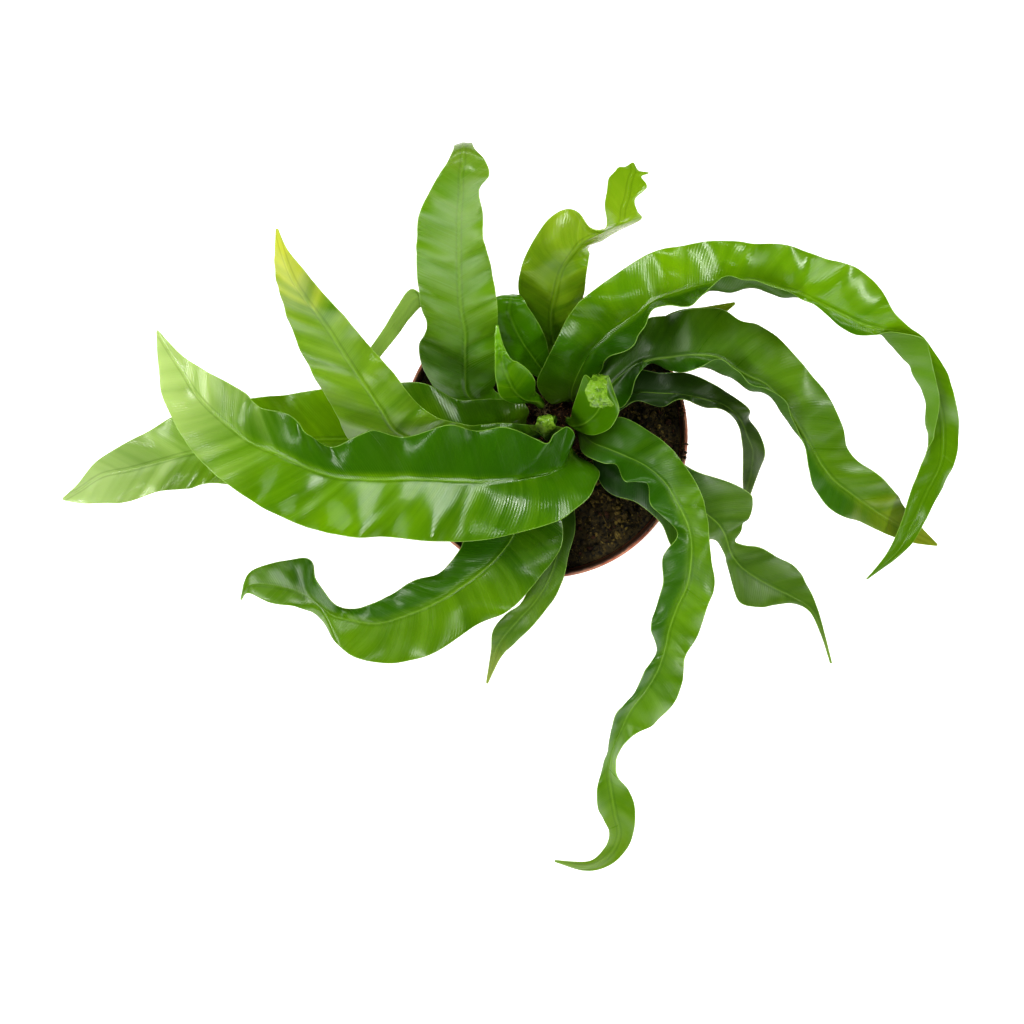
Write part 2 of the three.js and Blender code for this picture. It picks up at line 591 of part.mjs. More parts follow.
function potGeometry() {
  const innerFoot = outerRadiusAt(floorThickness) - wallThickness;
  const innerShoulder = outerRadiusAt(bandFoot) - wallThickness;
  const profile = [
    [0, 0],
    [baseRadius - baseRound, 0],
    [baseRadius, baseRound],
    [wallTopRadius, bandFoot],
    [wallTopRadius + bandStep - 2 * bandRound, bandFoot + rimRound],
    [rimRadius - bandRound, potHeight - lipDrop - rimRound],
    [rimRadius, potHeight - lipDrop],
    [rimRadius, potHeight - rimRound],
    [rimRadius - rimRound, potHeight],
    [rimInnerRadius + 0.8 * rimRound, potHeight],
    [rimInnerRadius, potHeight - rimRound],
    [innerShoulder, bandFoot - innerStep],
    [innerFoot, floorThickness],
    [0, floorThickness],
  ];
  let pot = toSolid(turned(profile, potSides));
  for (let i = 0; i < drainHoles; i += 1) {
    const angle = (i + 0.5) * (2 * Math.PI / drainHoles);
    const x = drainRing * Math.cos(angle);
    const y = drainRing * Math.sin(angle);
    pot = pot.subtract(toSolid(uprightRod(x, y, drainRadius, -1, floorThickness + 1, drainSides)));
  }
  return fromSolid(pot);
}

// The soil's top is a low swell with lumps, from sums of sines of the place.
function soilHeight(x, y) {
  const lumps = Math.sin(0.31 * x + 1.3) * Math.cos(0.27 * y) + 0.6 * Math.sin(0.53 * y + 0.19 * x);
  return soilTop + soilLump * lumps;
}

function soilGeometry() {
  const innerFoot = outerRadiusAt(floorThickness) - wallThickness - fitGap;
  const innerShoulder = outerRadiusAt(bandFoot) - wallThickness - fitGap;
  const edgeRise = (soilTop - bandFoot + innerStep) / (bandDepth + innerStep - rimRound);
  const topRadius = innerShoulder + (rimInnerRadius - fitGap - innerShoulder) * edgeRise;
  const foot = floorThickness + fitGap;
  const profile = [[0, foot], [innerFoot, foot], [innerShoulder, bandFoot - innerStep]];
  for (let i = 0; i <= soilRings; i += 1) {
    profile.push([topRadius * (1 - i / soilRings), soilTop]);
  }
  const geometry = turned(profile, soilSides);
  const place = geometry.attributes.position;
  for (let i = 0; i < place.count; i += 1) {
    if (place.getZ(i) > soilTop - fitGap) {
      const fromWall = topRadius - Math.hypot(place.getX(i), place.getY(i));
      const share = Math.min(1, fromWall / soilCalmEdge);
      const lump = soilHeight(place.getX(i), place.getY(i)) - soilTop;
      place.setZ(i, soilTop + lump * share);
    }
  }
  const socket = uprightRod(crownX, crownY, crownRadius + fitGap, crownFoot - fitGap, crownTop, soilSides);
  return fromSolid(toSolid(geometry).subtract(toSolid(socket)));
}

// The crown: a low dome with pointed scales round its shoulder, bored where the stems stand.
function crownGeometry() {
  const profile = [
    [0, crownFoot],
    [crownRadius - 1, crownFoot],
    [crownRadius, crownFoot + 2],
    [crownRadius, crownTop - 8],
    [crownRadius - 1.5, crownTop - 5],
    [crownRadius - 5, crownTop - 2.5],
    [crownRadius - 14, crownTop - 0.7],
    [0, crownTop],
  ];
  const dome = turned(profile, crownSides);
  dome.translate(crownX, crownY, 0);
  let crown = toSolid(dome);
  for (let i = 0; i < scaleCount; i += 1) {
    const angle = i * 2 * Math.PI / scaleCount;
    const scale = new THREE.ConeGeometry(scaleRadius, scaleLength, 4);
    scale.rotateX(Math.PI / 2);
    scale.rotateY(scaleLean);
    scale.translate(crownRadius - 2.2, 0, crownTop - scaleDepth + (i % 3));
    scale.rotateZ(angle);
    scale.translate(crownX, crownY, 0);
    crown = crown.add(toSolid(scale));
  }
  for (const { stem } of [...fronds, ...youngFronds]) {
    const bore = uprightRod(stem[0], stem[1], holeRadius, stemFoot - fitGap, crownTop + scaleLength, holeSides);
    crown = crown.subtract(toSolid(bore));
  }
  return fromSolid(crown);
}

const fern = new THREE.Group();

function place(name, geometry, color, roughness) {
  geometry.computeVertexNormals();
  const material = new THREE.MeshStandardMaterial({ color, roughness, metalness: 0 });
  const mesh = new THREE.Mesh(geometry, material);
  mesh.name = name;
  fern.add(mesh);
}

place('pot', potGeometry(), 0xb06e52, 0.55);
place('soil', soilGeometry(), 0x33231a, 0.95);
place('crown', crownGeometry(), 0x5a4126, 0.9);
for (const frond of [...fronds, ...youngFronds]) {
  place(frond.name, bladeGeometry(frondRows(frond)), frond.colour, 0.35);
}

export default fern;
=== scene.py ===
import math
import random
import bmesh
import bpy
import numpy as np
from mathutils import Euler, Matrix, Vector, noise


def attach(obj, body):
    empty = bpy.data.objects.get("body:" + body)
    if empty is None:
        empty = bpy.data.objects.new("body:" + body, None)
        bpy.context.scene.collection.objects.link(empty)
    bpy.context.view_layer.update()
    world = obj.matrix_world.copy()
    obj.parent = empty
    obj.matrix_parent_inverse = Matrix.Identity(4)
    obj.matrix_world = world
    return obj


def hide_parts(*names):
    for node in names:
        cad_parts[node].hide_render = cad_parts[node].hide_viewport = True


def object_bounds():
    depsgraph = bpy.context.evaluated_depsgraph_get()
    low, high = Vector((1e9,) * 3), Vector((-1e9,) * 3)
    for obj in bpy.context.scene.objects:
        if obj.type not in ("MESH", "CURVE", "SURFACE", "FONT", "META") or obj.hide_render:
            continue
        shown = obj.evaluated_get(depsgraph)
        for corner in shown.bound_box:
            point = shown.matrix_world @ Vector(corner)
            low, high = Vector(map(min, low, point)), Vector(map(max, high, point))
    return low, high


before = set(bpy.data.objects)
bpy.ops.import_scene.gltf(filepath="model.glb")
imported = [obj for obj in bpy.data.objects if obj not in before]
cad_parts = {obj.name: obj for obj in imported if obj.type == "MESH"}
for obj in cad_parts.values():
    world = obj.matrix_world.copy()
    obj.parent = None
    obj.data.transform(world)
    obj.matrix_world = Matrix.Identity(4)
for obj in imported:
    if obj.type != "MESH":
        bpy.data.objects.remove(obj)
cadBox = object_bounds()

mm = 0.001


def toLinear(hexColour):
    channels = [int(hexColour[i:i + 2], 16) / 255 for i in (1, 3, 5)]
    return tuple(c / 12.92 if c <= 0.04045 else ((c + 0.055) / 1.055) ** 2.4 for c in channels) + (1.0,)


def addNode(tree, kind, settings={}, inputs={}):
    node = tree.nodes.new("ShaderNode" + kind)
    for name, value in settings.items():
        setattr(node, name, value)
    for name, value in inputs.items():
        if isinstance(value, bpy.types.NodeSocket):
            tree.links.new(value, node.inputs[name])
        else:
            node.inputs[name].default_value = value
    return node


def tint(tree, colour, layers, curve="SMOOTHSTEP"):
    # Lays colours over one another. Each layer: a value, the two places between which its share
    # runs, the shares there, its colour, and what else that share is multiplied by.
    for value, start, end, startShare, endShare, hexColour, *limits in layers:
        share = addNode(tree, "MapRange", {"interpolation_type": curve}, {
            "Value": value, "From Min": start, "From Max": end,
            "To Min": startShare, "To Max": endShare}).outputs[0]
        for limit in limits:
            share = addNode(tree, "Math", {"operation": "MULTIPLY"}, {0: share, 1: limit}).outputs[0]
        colour = addNode(tree, "Mix", {"data_type": "RGBA"}, {
            0: share, 6: colour, 7: toLinear(hexColour)}).outputs[2]
    return colour


def newMaterial(name):
    material = bpy.data.materials.new(name)
    material.use_nodes = True
    material.node_tree.nodes.clear()
    return material, material.node_tree


def addObject(name, vertices, faces, materials, faceSlots=None, smooth=True):
    mesh = bpy.data.meshes.new(name)
    mesh.from_pydata([tuple(v) for v in vertices], [], [tuple(f) for f in faces])
    for material in materials:
        mesh.materials.append(material)
    if faceSlots is not None:
        mesh.polygons.foreach_set("material_index", np.asarray(faceSlots, dtype=np.int32))
    mesh.polygons.foreach_set("use_smooth", np.full(len(mesh.polygons), smooth))
    mesh.update()
    piece = bpy.data.objects.new(name, mesh)
    bpy.context.scene.collection.objects.link(piece)
    return piece


def standIn(piece, node):
    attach(piece, "root")
    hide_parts(node)


# Camera, straight above the plant, and the light of a white studio table.
studio = {
    "cameraPlace": (-0.0165, -0.0385, 1.615),
    "focalLength": 105.47,          # mm, on a 36 mm film back
    "look": "Medium High Contrast",
    "skyStrength": 0.05,
    "floorColour": "#F6F6F4",
    "floorHalf": 4.0,               # m
    "floorGlow": 0.55,              # the table is lit from under as well
    "lamps": {                      # place, target, size across and along in m, watts
        "softboxLeft": ((-1.25, -0.52, 1.20), (0, 0, 0.1), 1.3, 0.14, 16),
        "softboxRight": ((1.30, 0.22, 1.30), (0, 0, 0.1), 1.3, 0.14, 16),
        "softboxBack": ((-0.10, 0.85, 1.75), (0, 0, 0.1), 1.2, 0.15, 7),
        "softboxFront": ((0.30, -0.85, 1.75), (0, 0, 0.1), 1.2, 0.15, 6),
        "lowFrontPanel": ((0.05, -1.05, 0.12), (0, 0, 0.22), 1.3, 0.4, 2),
        "tableCard": ((0.0, -0.66, 0.004), (0, -0.66, 1.0), 1.3, 0.42, 4),
        "skyPanel": ((-0.9, 0.9, 1.6), (0, 0, 0.1), 0.9, 0.9, 7),
    },
}


def makeStudio():
    scene = bpy.context.scene
    scene.view_settings.view_transform = "Standard"
    scene.view_settings.look = studio["look"]
    cameraData = bpy.data.cameras.new("camera")
    cameraData.sensor_width = 36
    cameraData.lens = studio["focalLength"]
    cameraData.clip_start = 0.05
    camera = bpy.data.objects.new("camera", cameraData)
    camera.location = studio["cameraPlace"]
    scene.collection.objects.link(camera)
    scene.camera = camera

    world = bpy.data.worlds.new("whiteRoom")
    world.use_nodes = True
    background = world.node_tree.nodes["Background"]
    background.inputs["Color"].default_value = (1, 1, 1, 1)
    background.inputs["Strength"].default_value = studio["skyStrength"]
    scene.world = world

    for name, (place, target, across, along, watts) in studio["lamps"].items():
        lampData = bpy.data.lights.new(name, "AREA")
        lampData.shape = "RECTANGLE"
        lampData.size = across
        lampData.size_y = along
        lampData.energy = watts
        lamp = bpy.data.objects.new(name, lampData)
        lamp.location = place
        lamp.rotation_euler = (Vector(target) - Vector(place)).to_track_quat("-Z", "Y").to_euler()
        lamp.visible_camera = False
        scene.collection.objects.link(lamp)

    tableTop, tree = newMaterial("whiteTableTop")  # white laminate, so bright that it has no grain
    surface = addNode(tree, "BsdfPrincipled", {}, {
        "Base Color": toLinear(studio["floorColour"]), "Roughness": 0.6,
        "Emission Color": (1, 1, 1, 1), "Emission Strength": studio["floorGlow"],
    })
    addNode(tree, "OutputMaterial", {}, {"Surface": surface.outputs[0]})
    half = studio["floorHalf"]
    corners = [(-half, -half, 0), (half, -half, 0), (half, half, 0), (-half, half, 0)]
    addObject("floor", corners, [(0, 1, 2, 3)], [tableTop], smooth=False)


makeStudio()
print("studio made")

# Fronds. Places are in mm as an eye straight above the plant sees them: what is higher
# than the rim looks further out than it is. Each row goes from the base to the tip:
# the midrib (x, y, height), the left and the right edge (x, y, rise over the midrib), and
# where a half curls over, the bend of the left or the right half in the same way.
frondRows = {
    "frond_a": {"stem": (9, -4), "tip": (-194, 52, 210), "rows": (
        ((12, -8, 124), (17, -11, 0), (9, -6, 2)),
        ((9, -16, 131), (27, -18, 1), (15, -1, 11)),
        ((5, -18, 134), (25, -25, 2), (11, 4, 13)),
        ((0, -20, 137), (22, -31, 3), (5, 1, 14)),
        ((-7, -21, 140), (15, -37, 2), (1, -4, 12)),
        ((-14, -22, 144), (6, -43, 1), (-5, -2, 9)),
        ((-28, -23, 151), (-18, -50, 0), (-19, 4, 12)),
        ((-42, -23, 158), (-38, -53, -4), (-34, 2, 6)),
        ((-58, -22, 165), (-58, -53, 2), (-48, 5, 12)),
        ((-74, -22, 172), (-78, -51, -3), (-70, -1, 4)),
        ((-90, -22, 178), (-96, -51, 2), (-88, 2, 12)),
        ((-104, -21, 184), (-112, -48, -4), (-106, -6, 3)),
        ((-117, -17, 189), (-127, -43, 2), (-119, 1, 10)),
        ((-132, -10, 194), (-143, -35, -3), (-128, 10, 4)),
        ((-148, -3, 199), (-158, -25, 2), (-143, 14, 7)),
        ((-162, 8, 203), (-172, -13, 0), (-150, 21, 3)),
        ((-174, 20, 206), (-183, 2, 2), (-166, 30, 4)),
        ((-182, 33, 208), (-191, 19, 2), (-178, 37, 3)),
        ((-188, 42, 209), (-193, 31, 1), (-186, 44, 2)),
    )},
    "frond_b": {"stem": (-11, 5), "tip": (-241, -32, 138), "rows": (
        ((-15, 5, 124), (-13, -4, 0), (-8, 12, 2)),
        ((-21, 4, 127), (-19, -9, 1), (-13, 17, 2)),
        ((-30, 3, 129), (-28, -13, 1), (-27, 18, 2)),
        ((-47, -1, 132), (-47, -22, 2), (-44, 18, 1)),
        ((-67, -2, 136), (-67, -25, -3), (-62, 26, 3)),
        ((-87, -2, 139), (-87, -26, 2), (-84, 25, 0)),
        ((-107, -2, 141), (-107, -27, -3), (-110, 23, 3)),
        ((-127, -3, 143), (-127, -27, 2), (-130, 20, 0)),
        ((-147, -5, 144), (-149, -26, -2), (-149, 18, 3)),
        ((-163, -7, 144), (-167, -24, 3), (-168, 14, 0)),
        ((-177, -9, 143), (-179, -27, -2), (-184, 10, 3)),
        ((-192, -13, 142), (-193, -28, 1), (-198, 2, 0)),
        ((-207, -17, 141), (-207, -33, -2), (-213, -6, 2)),
        ((-221, -20, 140), (-220, -34, 0), (-225, -14, 1)),
        ((-232, -27, 139), (-232, -34, 0), (-234, -25, 1)),
    )},
    "frond_c": {"stem": (-2, 2), "tip": (-134, 103, 256), "rows": (
        ((-10, -1, 130), (-10, -6, 0), (-8, 5, 1)),
        ((-28, -5, 138), (-32, -15, 0), (-22, 6, 1)),
        ((-50, -6, 147), (-62, -18, -2), (-36, 5, 0)),
        ((-73, 1, 157), (-95, -5, -2), (-52, 8, 2)),
        ((-82, 13, 168), (-104, 10, 2), (-64, 16, -2)),
        ((-92, 28, 182), (-114, 27, 0), (-76, 31, 2)),
        ((-102, 43, 197), (-122, 42, 2), (-90, 47, -2)),
        ((-111, 57, 211), (-128, 57, 0), (-101, 60, 2)),
        ((-119, 67, 223), (-132, 69, 1), (-112, 72, 0)),
        ((-126, 78, 236), (-135, 82, 1), (-121, 83, 1)),
        ((-131, 91, 248), (-135, 93, 1), (-129, 93, 1)),
    )},
    "frond_d": {"stem": (-11, 13), "tip": (-41, 143, 247), "rows": (
        ((-18, 13, 121), (-18, 9, 0), (-16, 17, 0)),
        ((-31, 14, 121), (-34, 6, 0), (-25, 22, 1)),
        ((-39, 21, 126), (-50, 16, -2), (-25, 26, 2)),
        ((-40, 32, 138), (-60, 32, -2), (-24, 36, 4)),
        ((-40, 42, 152), (-63, 44, 4), (-25, 44, 1)),
        ((-40, 52, 166), (-59, 54, 2), (-24, 54, -2)),
        ((-42, 64, 183), (-62, 65, -2), (-24, 65, 5)),
        ((-43, 82, 208), (-64, 82, 4), (-27, 84, -3)),
        ((-43, 98, 230), (-64, 98, -2), (-31, 99, 4)),
        ((-43, 110, 246), (-63, 110, 3), (-31, 110, -3)),
        ((-42, 121, 258), (-58, 121, 0), (-33, 122, 2)),
        ((-42, 130, 266), (-53, 130, 0), (-28, 130, 4)),
        ((-41, 137, 270), (-49, 136, 0), (-30, 137, 1)),
        ((-41, 143, 270), (-46, 142, -1), (-35, 143, -1)),
        ((-41, 146, 262), (-45, 145, 0), (-37, 146, 0)),
    )},
    "frond_e": {"stem": (-6, 22), "tip": (-97, 25, 146), "rows": (
        ((-13, 28, 123), (-16, 25, 0), (-10, 31, 0)),
        ((-28, 40, 130), (-33, 33, 0), (-23, 47, 0)),
        ((-44, 53, 138), (-46, 47, -4), (-41, 59, 4)),
        ((-55, 64, 145), (-55, 61, 6), (-55, 67, -6)),
        ((-64, 69, 150), (-66, 73, 2), (-62, 64, -2)),
        ((-71, 61, 153), (-74, 64, 1), (-68, 58, -1)),
        ((-77, 53, 153), (-80, 54, 0), (-73, 51, 0)),
        ((-84, 43, 151), (-87, 44, 0), (-81, 41, 0)),
        ((-91, 33, 148), (-94, 34, 0), (-89, 31, 0)),
    )},
    "frond_f": {"stem": (3, 27), "tip": (-16, 70, 147), "rows": (
        ((0, 31, 123), (-4, 29, 0), (4, 33, 0)),
        ((-6, 39, 130), (-15, 36, 0), (2, 41, 2)),
        ((-12, 48, 139), (-24, 46, -2), (0, 49, 1)),
        ((-16, 56, 148), (-29, 56, -1), (-4, 57, 0)),
        ((-18, 62, 155), (-29, 64, 0), (-8, 63, 0)),
        ((-17, 68, 158), (-25, 69, -1), (-11, 68, -1)),
        ((-16, 70, 154), (-20, 70, 0), (-13, 70, 0)),
    )},
    "frond_g": {"stem": (13, 27), "tip": (44, 136, 168), "rows": (
        ((11, 33, 121), (7, 32, 0), (16, 35, 0)),
        ((5, 44, 127), (-2, 44, -2), (11, 47, 0)),
        ((3, 58, 137), (-6, 60, -3), (14, 58, 2)),
        ((5, 70, 147), (-13, 71, -2), (19, 70, -2)),
        ((8, 82, 158), (-12, 83, 3), (21, 83, 3)),
        ((13, 90, 167), (-7, 95, 0), (22, 90, -6)),
        ((17, 95, 173), (2, 108, 2), (22, 93, -12)),
        ((21, 98, 178), (13, 113, 4), (25, 96, -13)),
        ((27, 101, 182), (22, 104, 10), (31, 99, -13)),
        ((33, 104, 184), (29, 103, 11), (37, 102, -13)),
        ((38, 107, 183), (31, 107, 7), (48, 108, -8)),
        ((39, 113, 180), (30, 115, 2), (46, 112, -2)),
        ((41, 119, 177), (31, 122, 0), (45, 118, 0)),
        ((42, 125, 174), (32, 128, 0), (51, 124, 0)),
        ((43, 129, 172), (35, 132, 0), (48, 129, 0)),
        ((44, 131, 171), (37, 134, 0), (52, 131, 0)),
        ((44, 133, 170), (40, 134, 0), (47, 132, 0)),
    )},
    "frond_h": {"stem": (14, 18), "tip": (161, -72, 110), "rows": (
        ((13, 19, 125), (3, 16, 1), (19, 19, 1)),
        ((14, 25, 131), (-4, 25, 3), (22, 25, 2)),
        ((18, 34, 139), (0, 36, 2), (28, 32, 4)),
        ((24, 43, 147), (4, 44, 1), (31, 38, 10)),
        ((34, 52, 155), (11, 58, -2), (43, 44, 12)),
        ((45, 60, 163), (19, 68, 3), (49, 53, 13)),
        ((55, 67, 170), (38, 82, 0), (55, 64, 18)),
        ((68, 72, 176), (53, 91, 3), (69, 64, 16)),
        ((80, 75, 181), (66, 94, -2), (78, 69, 16)),
        ((92, 77, 185), (84, 97, 4), (90, 79, 16), None, (92, 72, 6)),
        ((105, 77, 188), (102, 96, -2), (104, 77, 14), None, (106, 73, 5)),
        ((120, 73, 190), (120, 95, 3), (121, 72, 8), None, (119, 69, 4)),
        ((129, 70, 191), (132, 91, -2), (128, 68, 2)),
        ((137, 66, 191), (141, 88, 1), (135, 65, 0)),
        ((143, 63, 191), (149, 86, 3), (141, 60, -1)),
        ((151, 59, 190), (158, 82, 1), (148, 54, -1)),
        ((160, 55, 188), (168, 73, -2), (156, 50, -1)),
        ((168, 53, 186), (174, 62, 2), (165, 50, 1)),
        ((177, 52, 183), (182, 54, 1), (174, 51, 8), None, (170, 48, 2)),
        ((185, 47, 179), (189, 49, 0), (189, 48, 9), None, (175, 43, 3)),
        ((190, 40, 174), (195, 41, -1), (192, 42, 10), None, (179, 38, 4)),
        ((193, 31, 168), (201, 31, -2), (194, 33, 9), None, (184, 31, 4)),
        ((197, 17, 157), (205, 18, 2), (197, 19, 8), None, (190, 17, 2)),
        ((199, 3, 146), (207, 4, -2), (195, 2, 7), None, (191, 2, 1)),
        ((198, -13, 136), (205, -13, 1), (189, -13, 3)),
        ((191, -28, 128), (198, -27, -2), (183, -28, 0)),
        ((184, -43, 122), (190, -43, 1), (178, -44, 0)),
        ((176, -58, 117), (181, -57, 0), (171, -59, 0)),
    )},
    "frond_i": {"stem": (20, 11), "tip": (196, -55, 98), "rows": (
        ((26, 16, 129), (23, 19, 0), (29, 13, 0)),
        ((34, 26, 135), (29, 35, 0), (40, 15, 1)),
        ((45, 35, 141), (42, 50, 1), (46, 29, 6)),
        ((53, 38, 145), (51, 58, 3), (53, 36, -7)),
        ((62, 39, 148), (62, 60, -2), (63, 32, -6)),
        ((73, 40, 152), (74, 63, 3), (73, 32, 4)),
        ((86, 39, 155), (88, 63, -2), (87, 38, 10), None, (86, 32, 4)),
        ((96, 33, 157), (98, 57, 2), (96, 32, 9), None, (95, 27, 3)),
        ((103, 29, 158), (107, 55, 1), (102, 26, 8), None, (102, 23, 3)),
        ((111, 25, 158), (117, 48, -2), (111, 23, 6), None, (110, 21, 3)),
        ((120, 15, 157), (130, 34, 2), (120, 17, 7), None, (116, 15, 3)),
        ((127, 4, 154), (141, 20, -2), (125, 5, 4), None, (124, 3, 0)),
        ((133, -6, 151), (149, 4, 2), (130, -6, 2)),
        ((139, -16, 146), (151, -7, -2), (132, -17, 1)),
        ((145, -23, 140), (158, -14, -1), (135, -27, -1)),
        ((154, -30, 132), (168, -21, 2), (144, -38, 1)),
        ((165, -38, 122), (176, -30, -2), (159, -44, -1)),
        ((176, -45, 112), (181, -38, 0), (172, -50, 0)),
        ((187, -51, 104), (189, -47, 0), (185, -54, 0)),
    )},
    "frond_j": {"stem": (27, 11), "tip": (101, -33, 86), "rows": (
        ((34, 16, 122), (31, 21, 0), (37, 12, 0)),
        ((45, 21, 126), (44, 32, 1), (46, 17, 1)),
        ((58, 21, 128), (58, 31, 3), (58, 14, -2)),
        ((69, 20, 129), (71, 31, -2), (68, 18, 3)),
        ((80, 18, 128), (83, 26, 2), (79, 14, -2)),
        ((89, 15, 126), (93, 20, -2), (88, 13, 2)),
        ((96, 10, 122), (102, 13, 2), (94, 9, -1)),
        ((99, 5, 118), (102, 8, -2), (97, 4, 0)),
        ((101, 0, 114), (107, 1, 0), (98, 0, 0)),
        ((104, -8, 107), (110, -9, 2), (99, -8, 0)),
        ((103, -18, 98), (107, -18, -1), (99, -17, 1)),
        ((101, -26, 92), (104, -26, 0), (99, -25, 0)),
    )},
    "frond_k": {"stem": (22, 21), "tip": (95, 66, 138), "rows": (
        ((28, 27, 124), (25, 30, 0), (31, 25, 0)),
        ((42, 39, 131), (38, 46, 0), (46, 33, 0)),
        ((56, 47, 134), (52, 55, 0), (60, 39, 0)),
        ((69, 55, 136), (66, 62, 0), (72, 48, 0)),
        ((82, 61, 138), (80, 64, 0), (85, 57, 0)),
    )},
    "frond_l": {"stem": (26, 0), "tip": (143, -114, 64), "rows": (
        ((31, -6, 121), (36, -2, 0), (24, -14, 0)),
        ((40, -16, 124), (50, -6, 1), (31, -28, -1)),
        ((53, -24, 127), (62, -10, 2), (46, -34, 0)),
        ((66, -31, 129), (75, -18, 3), (58, -44, 0)),
        ((77, -37, 128), (90, -23, -2), (64, -56, -2)),
        ((84, -42, 123), (102, -29, 1), (75, -55, -2)),
        ((87, -45, 121), (104, -34, 2), (79, -54, -2)),
        ((89, -48, 118), (102, -41, 3), (83, -52, -3)),
        ((90, -50, 116), (99, -44, 3), (86, -53, -3)),
        ((91, -53, 114), (98, -48, 3), (88, -56, -3)),
        ((92, -57, 111), (95, -53, 2), (90, -60, -2)),
        ((94, -61, 107), (99, -55, 3), (91, -65, -3)),
        ((98, -66, 103), (107, -56, 2), (94, -76, 0)),
        ((105, -71, 99), (116, -61, 0), (98, -84, 1)),
        ((114, -76, 96), (125, -66, -1), (109, -86, 1)),
        ((124, -81, 91), (131, -75, 1), (122, -84, -1)),
        ((133, -87, 86), (136, -86, 0), (132, -88, 0)),
        ((139, -100, 76), (140, -100, 0), (138, -100, 0)),
    )},
    "frond_m": {"stem": (18, 1), "tip": (5, -213, 57), "rows": (
        ((24, -4, 129), (28, 3, 1), (19, -9, 1)),
        ((32, -7, 136), (37, 9, 1), (29, -14, 1)),
        ((41, -11, 143), (50, 3, -1), (36, -15, -2)),
        ((51, -16, 150), (60, -4, 2), (40, -23, 3)),
        ((60, -24, 156), (69, -14, -2), (51, -24, -3)),
        ((66, -34, 160), (77, -27, 3), (53, -35, 3)),
        ((71, -44, 162), (81, -40, -2), (63, -44, -3)),
        ((73, -53, 163), (82, -51, 2), (66, -51, 4)),
        ((73, -63, 163), (83, -62, -1), (59, -61, -2)),
        ((71, -75, 161), (85, -75, -2), (59, -74, 3)),
        ((66, -86, 157), (81, -86, 3), (55, -88, -3)),
        ((62, -97, 152), (77, -99, -3), (53, -97, 3)),
        ((60, -107, 146), (70, -111, 4), (56, -108, -4)),
        ((56, -118, 139), (69, -121, -3), (50, -118, 3)),
        ((50, -128, 132), (65, -133, 3), (44, -130, -3)),
        ((43, -137, 124), (55, -144, -3), (36, -139, 3)),
        ((38, -147, 116), (43, -151, 4), (33, -148, -3)),
        ((34, -158, 108), (36, -161, 5), (31, -159, -5)),
        ((32, -168, 100), (36, -170, 3), (28, -169, -3)),
        ((33, -178, 93), (42, -178, -1), (26, -178, 1)),
        ((35, -189, 86), (45, -188, 2), (27, -188, -1)),
        ((37, -200, 78), (43, -203, -1), (32, -198, 1)),
        ((32, -210, 70), (34, -214, 0), (30, -206, 0)),
        ((21, -216, 63), (21, -218, 0), (22, -213, 0)),
    )},
    "frond_o": {"stem": (-6, -5), "tip": (-152, -82, 103), "rows": (
        ((-7, -13, 120), (-3, -14, 0), (-11, -12, 0)),
        ((-9, -26, 123), (2, -28, 0), (-19, -24, 0)),
        ((-12, -40, 126), (8, -43, -1), (-28, -36, 1)),
        ((-18, -54, 128), (8, -56, 1), (-38, -46, -1)),
        ((-29, -66, 129), (-2, -70, -2), (-43, -58, 2)),
        ((-42, -76, 128), (-16, -86, 2), (-53, -69, -1)),
        ((-55, -84, 126), (-34, -95, -2), (-66, -73, 3)),
        ((-69, -90, 123), (-56, -109, 2), (-77, -80, -1)),
        ((-83, -94, 120), (-76, -114, -1), (-88, -85, 3)),
        ((-95, -93, 118), (-95, -111, 2), (-97, -87, -3)),
        ((-106, -90, 117), (-105, -103, 1), (-106, -84, 6)),
        ((-114, -84, 116), (-112, -92, -4), (-114, -73, 10)),
        ((-124, -78, 114), (-123, -86, -2), (-118, -62, 4)),
        ((-137, -75, 111), (-137, -84, 0), (-135, -64, 0)),
        ((-147, -75, 108), (-148, -79, 0), (-148, -69, 0)),
    )},
    "frond_p": {"stem": (5, -11), "tip": (-29, -124, 84), "rows": (
        ((6, -19, 119), (9, -19, 0), (2, -19, 0)),
        ((7, -33, 119), (14, -33, 0), (0, -33, 0)),
        ((8, -47, 120), (15, -47, 1), (-2, -48, 0)),
        ((6, -60, 121), (12, -59, 0), (-5, -62, 0)),
        ((2, -72, 120), (9, -72, 1), (-8, -75, -1)),
        ((-5, -83, 117), (3, -84, -1), (-12, -84, 1)),
        ((-13, -92, 112), (-6, -95, 1), (-20, -90, -1)),
        ((-20, -100, 106), (-15, -104, -1), (-26, -98, 1)),
        ((-25, -109, 98), (-22, -111, 0), (-27, -108, 0)),
    )},
    "young_frond_1": {"stem": (-2, 15), "tip": (-24, 55, 173), "rows": (
        ((-4, 17, 127), (-7, 16, 1), (-3, 20, 1)),
        ((-10, 18, 137), (-16, 16, 3), (-5, 22, 4)),
        ((-15, 22, 146), (-22, 19, 4), (-5, 27, 5)),
        ((-18, 27, 153), (-24, 25, 4), (-8, 32, 5)),
        ((-20, 32, 159), (-25, 31, 3), (-13, 36, 4)),
        ((-21, 37, 164), (-25, 37, 2), (-17, 38, 2)),
        ((-22, 43, 168), (-25, 43, 1), (-20, 43, 0)),
        ((-23, 49, 171), (-25, 49, 0), (-22, 49, 0)),
    )},
    "young_frond_2": {"stem": (12, 7), "tip": (28, 16, 171), "rows": (
        ((15, 5, 127), (13, 9, 2), (17, 2, 2)),
        ((20, 6, 137), (14, 14, 4), (24, 0, 3)),
        ((25, 10, 147), (16, 20, 5), (32, 3, 4)),
        ((28, 15, 156), (18, 26, 4), (36, 9, 3)),
        ((29, 20, 163), (20, 30, 2), (37, 14, 1)),
        ((29, 25, 170), (23, 28, 0), (34, 23, 0)),
        ((28, 29, 176), (24, 30, 0), (32, 29, 0)),
        ((28, 29, 181), (24, 30, 0), (31, 29, 0)),
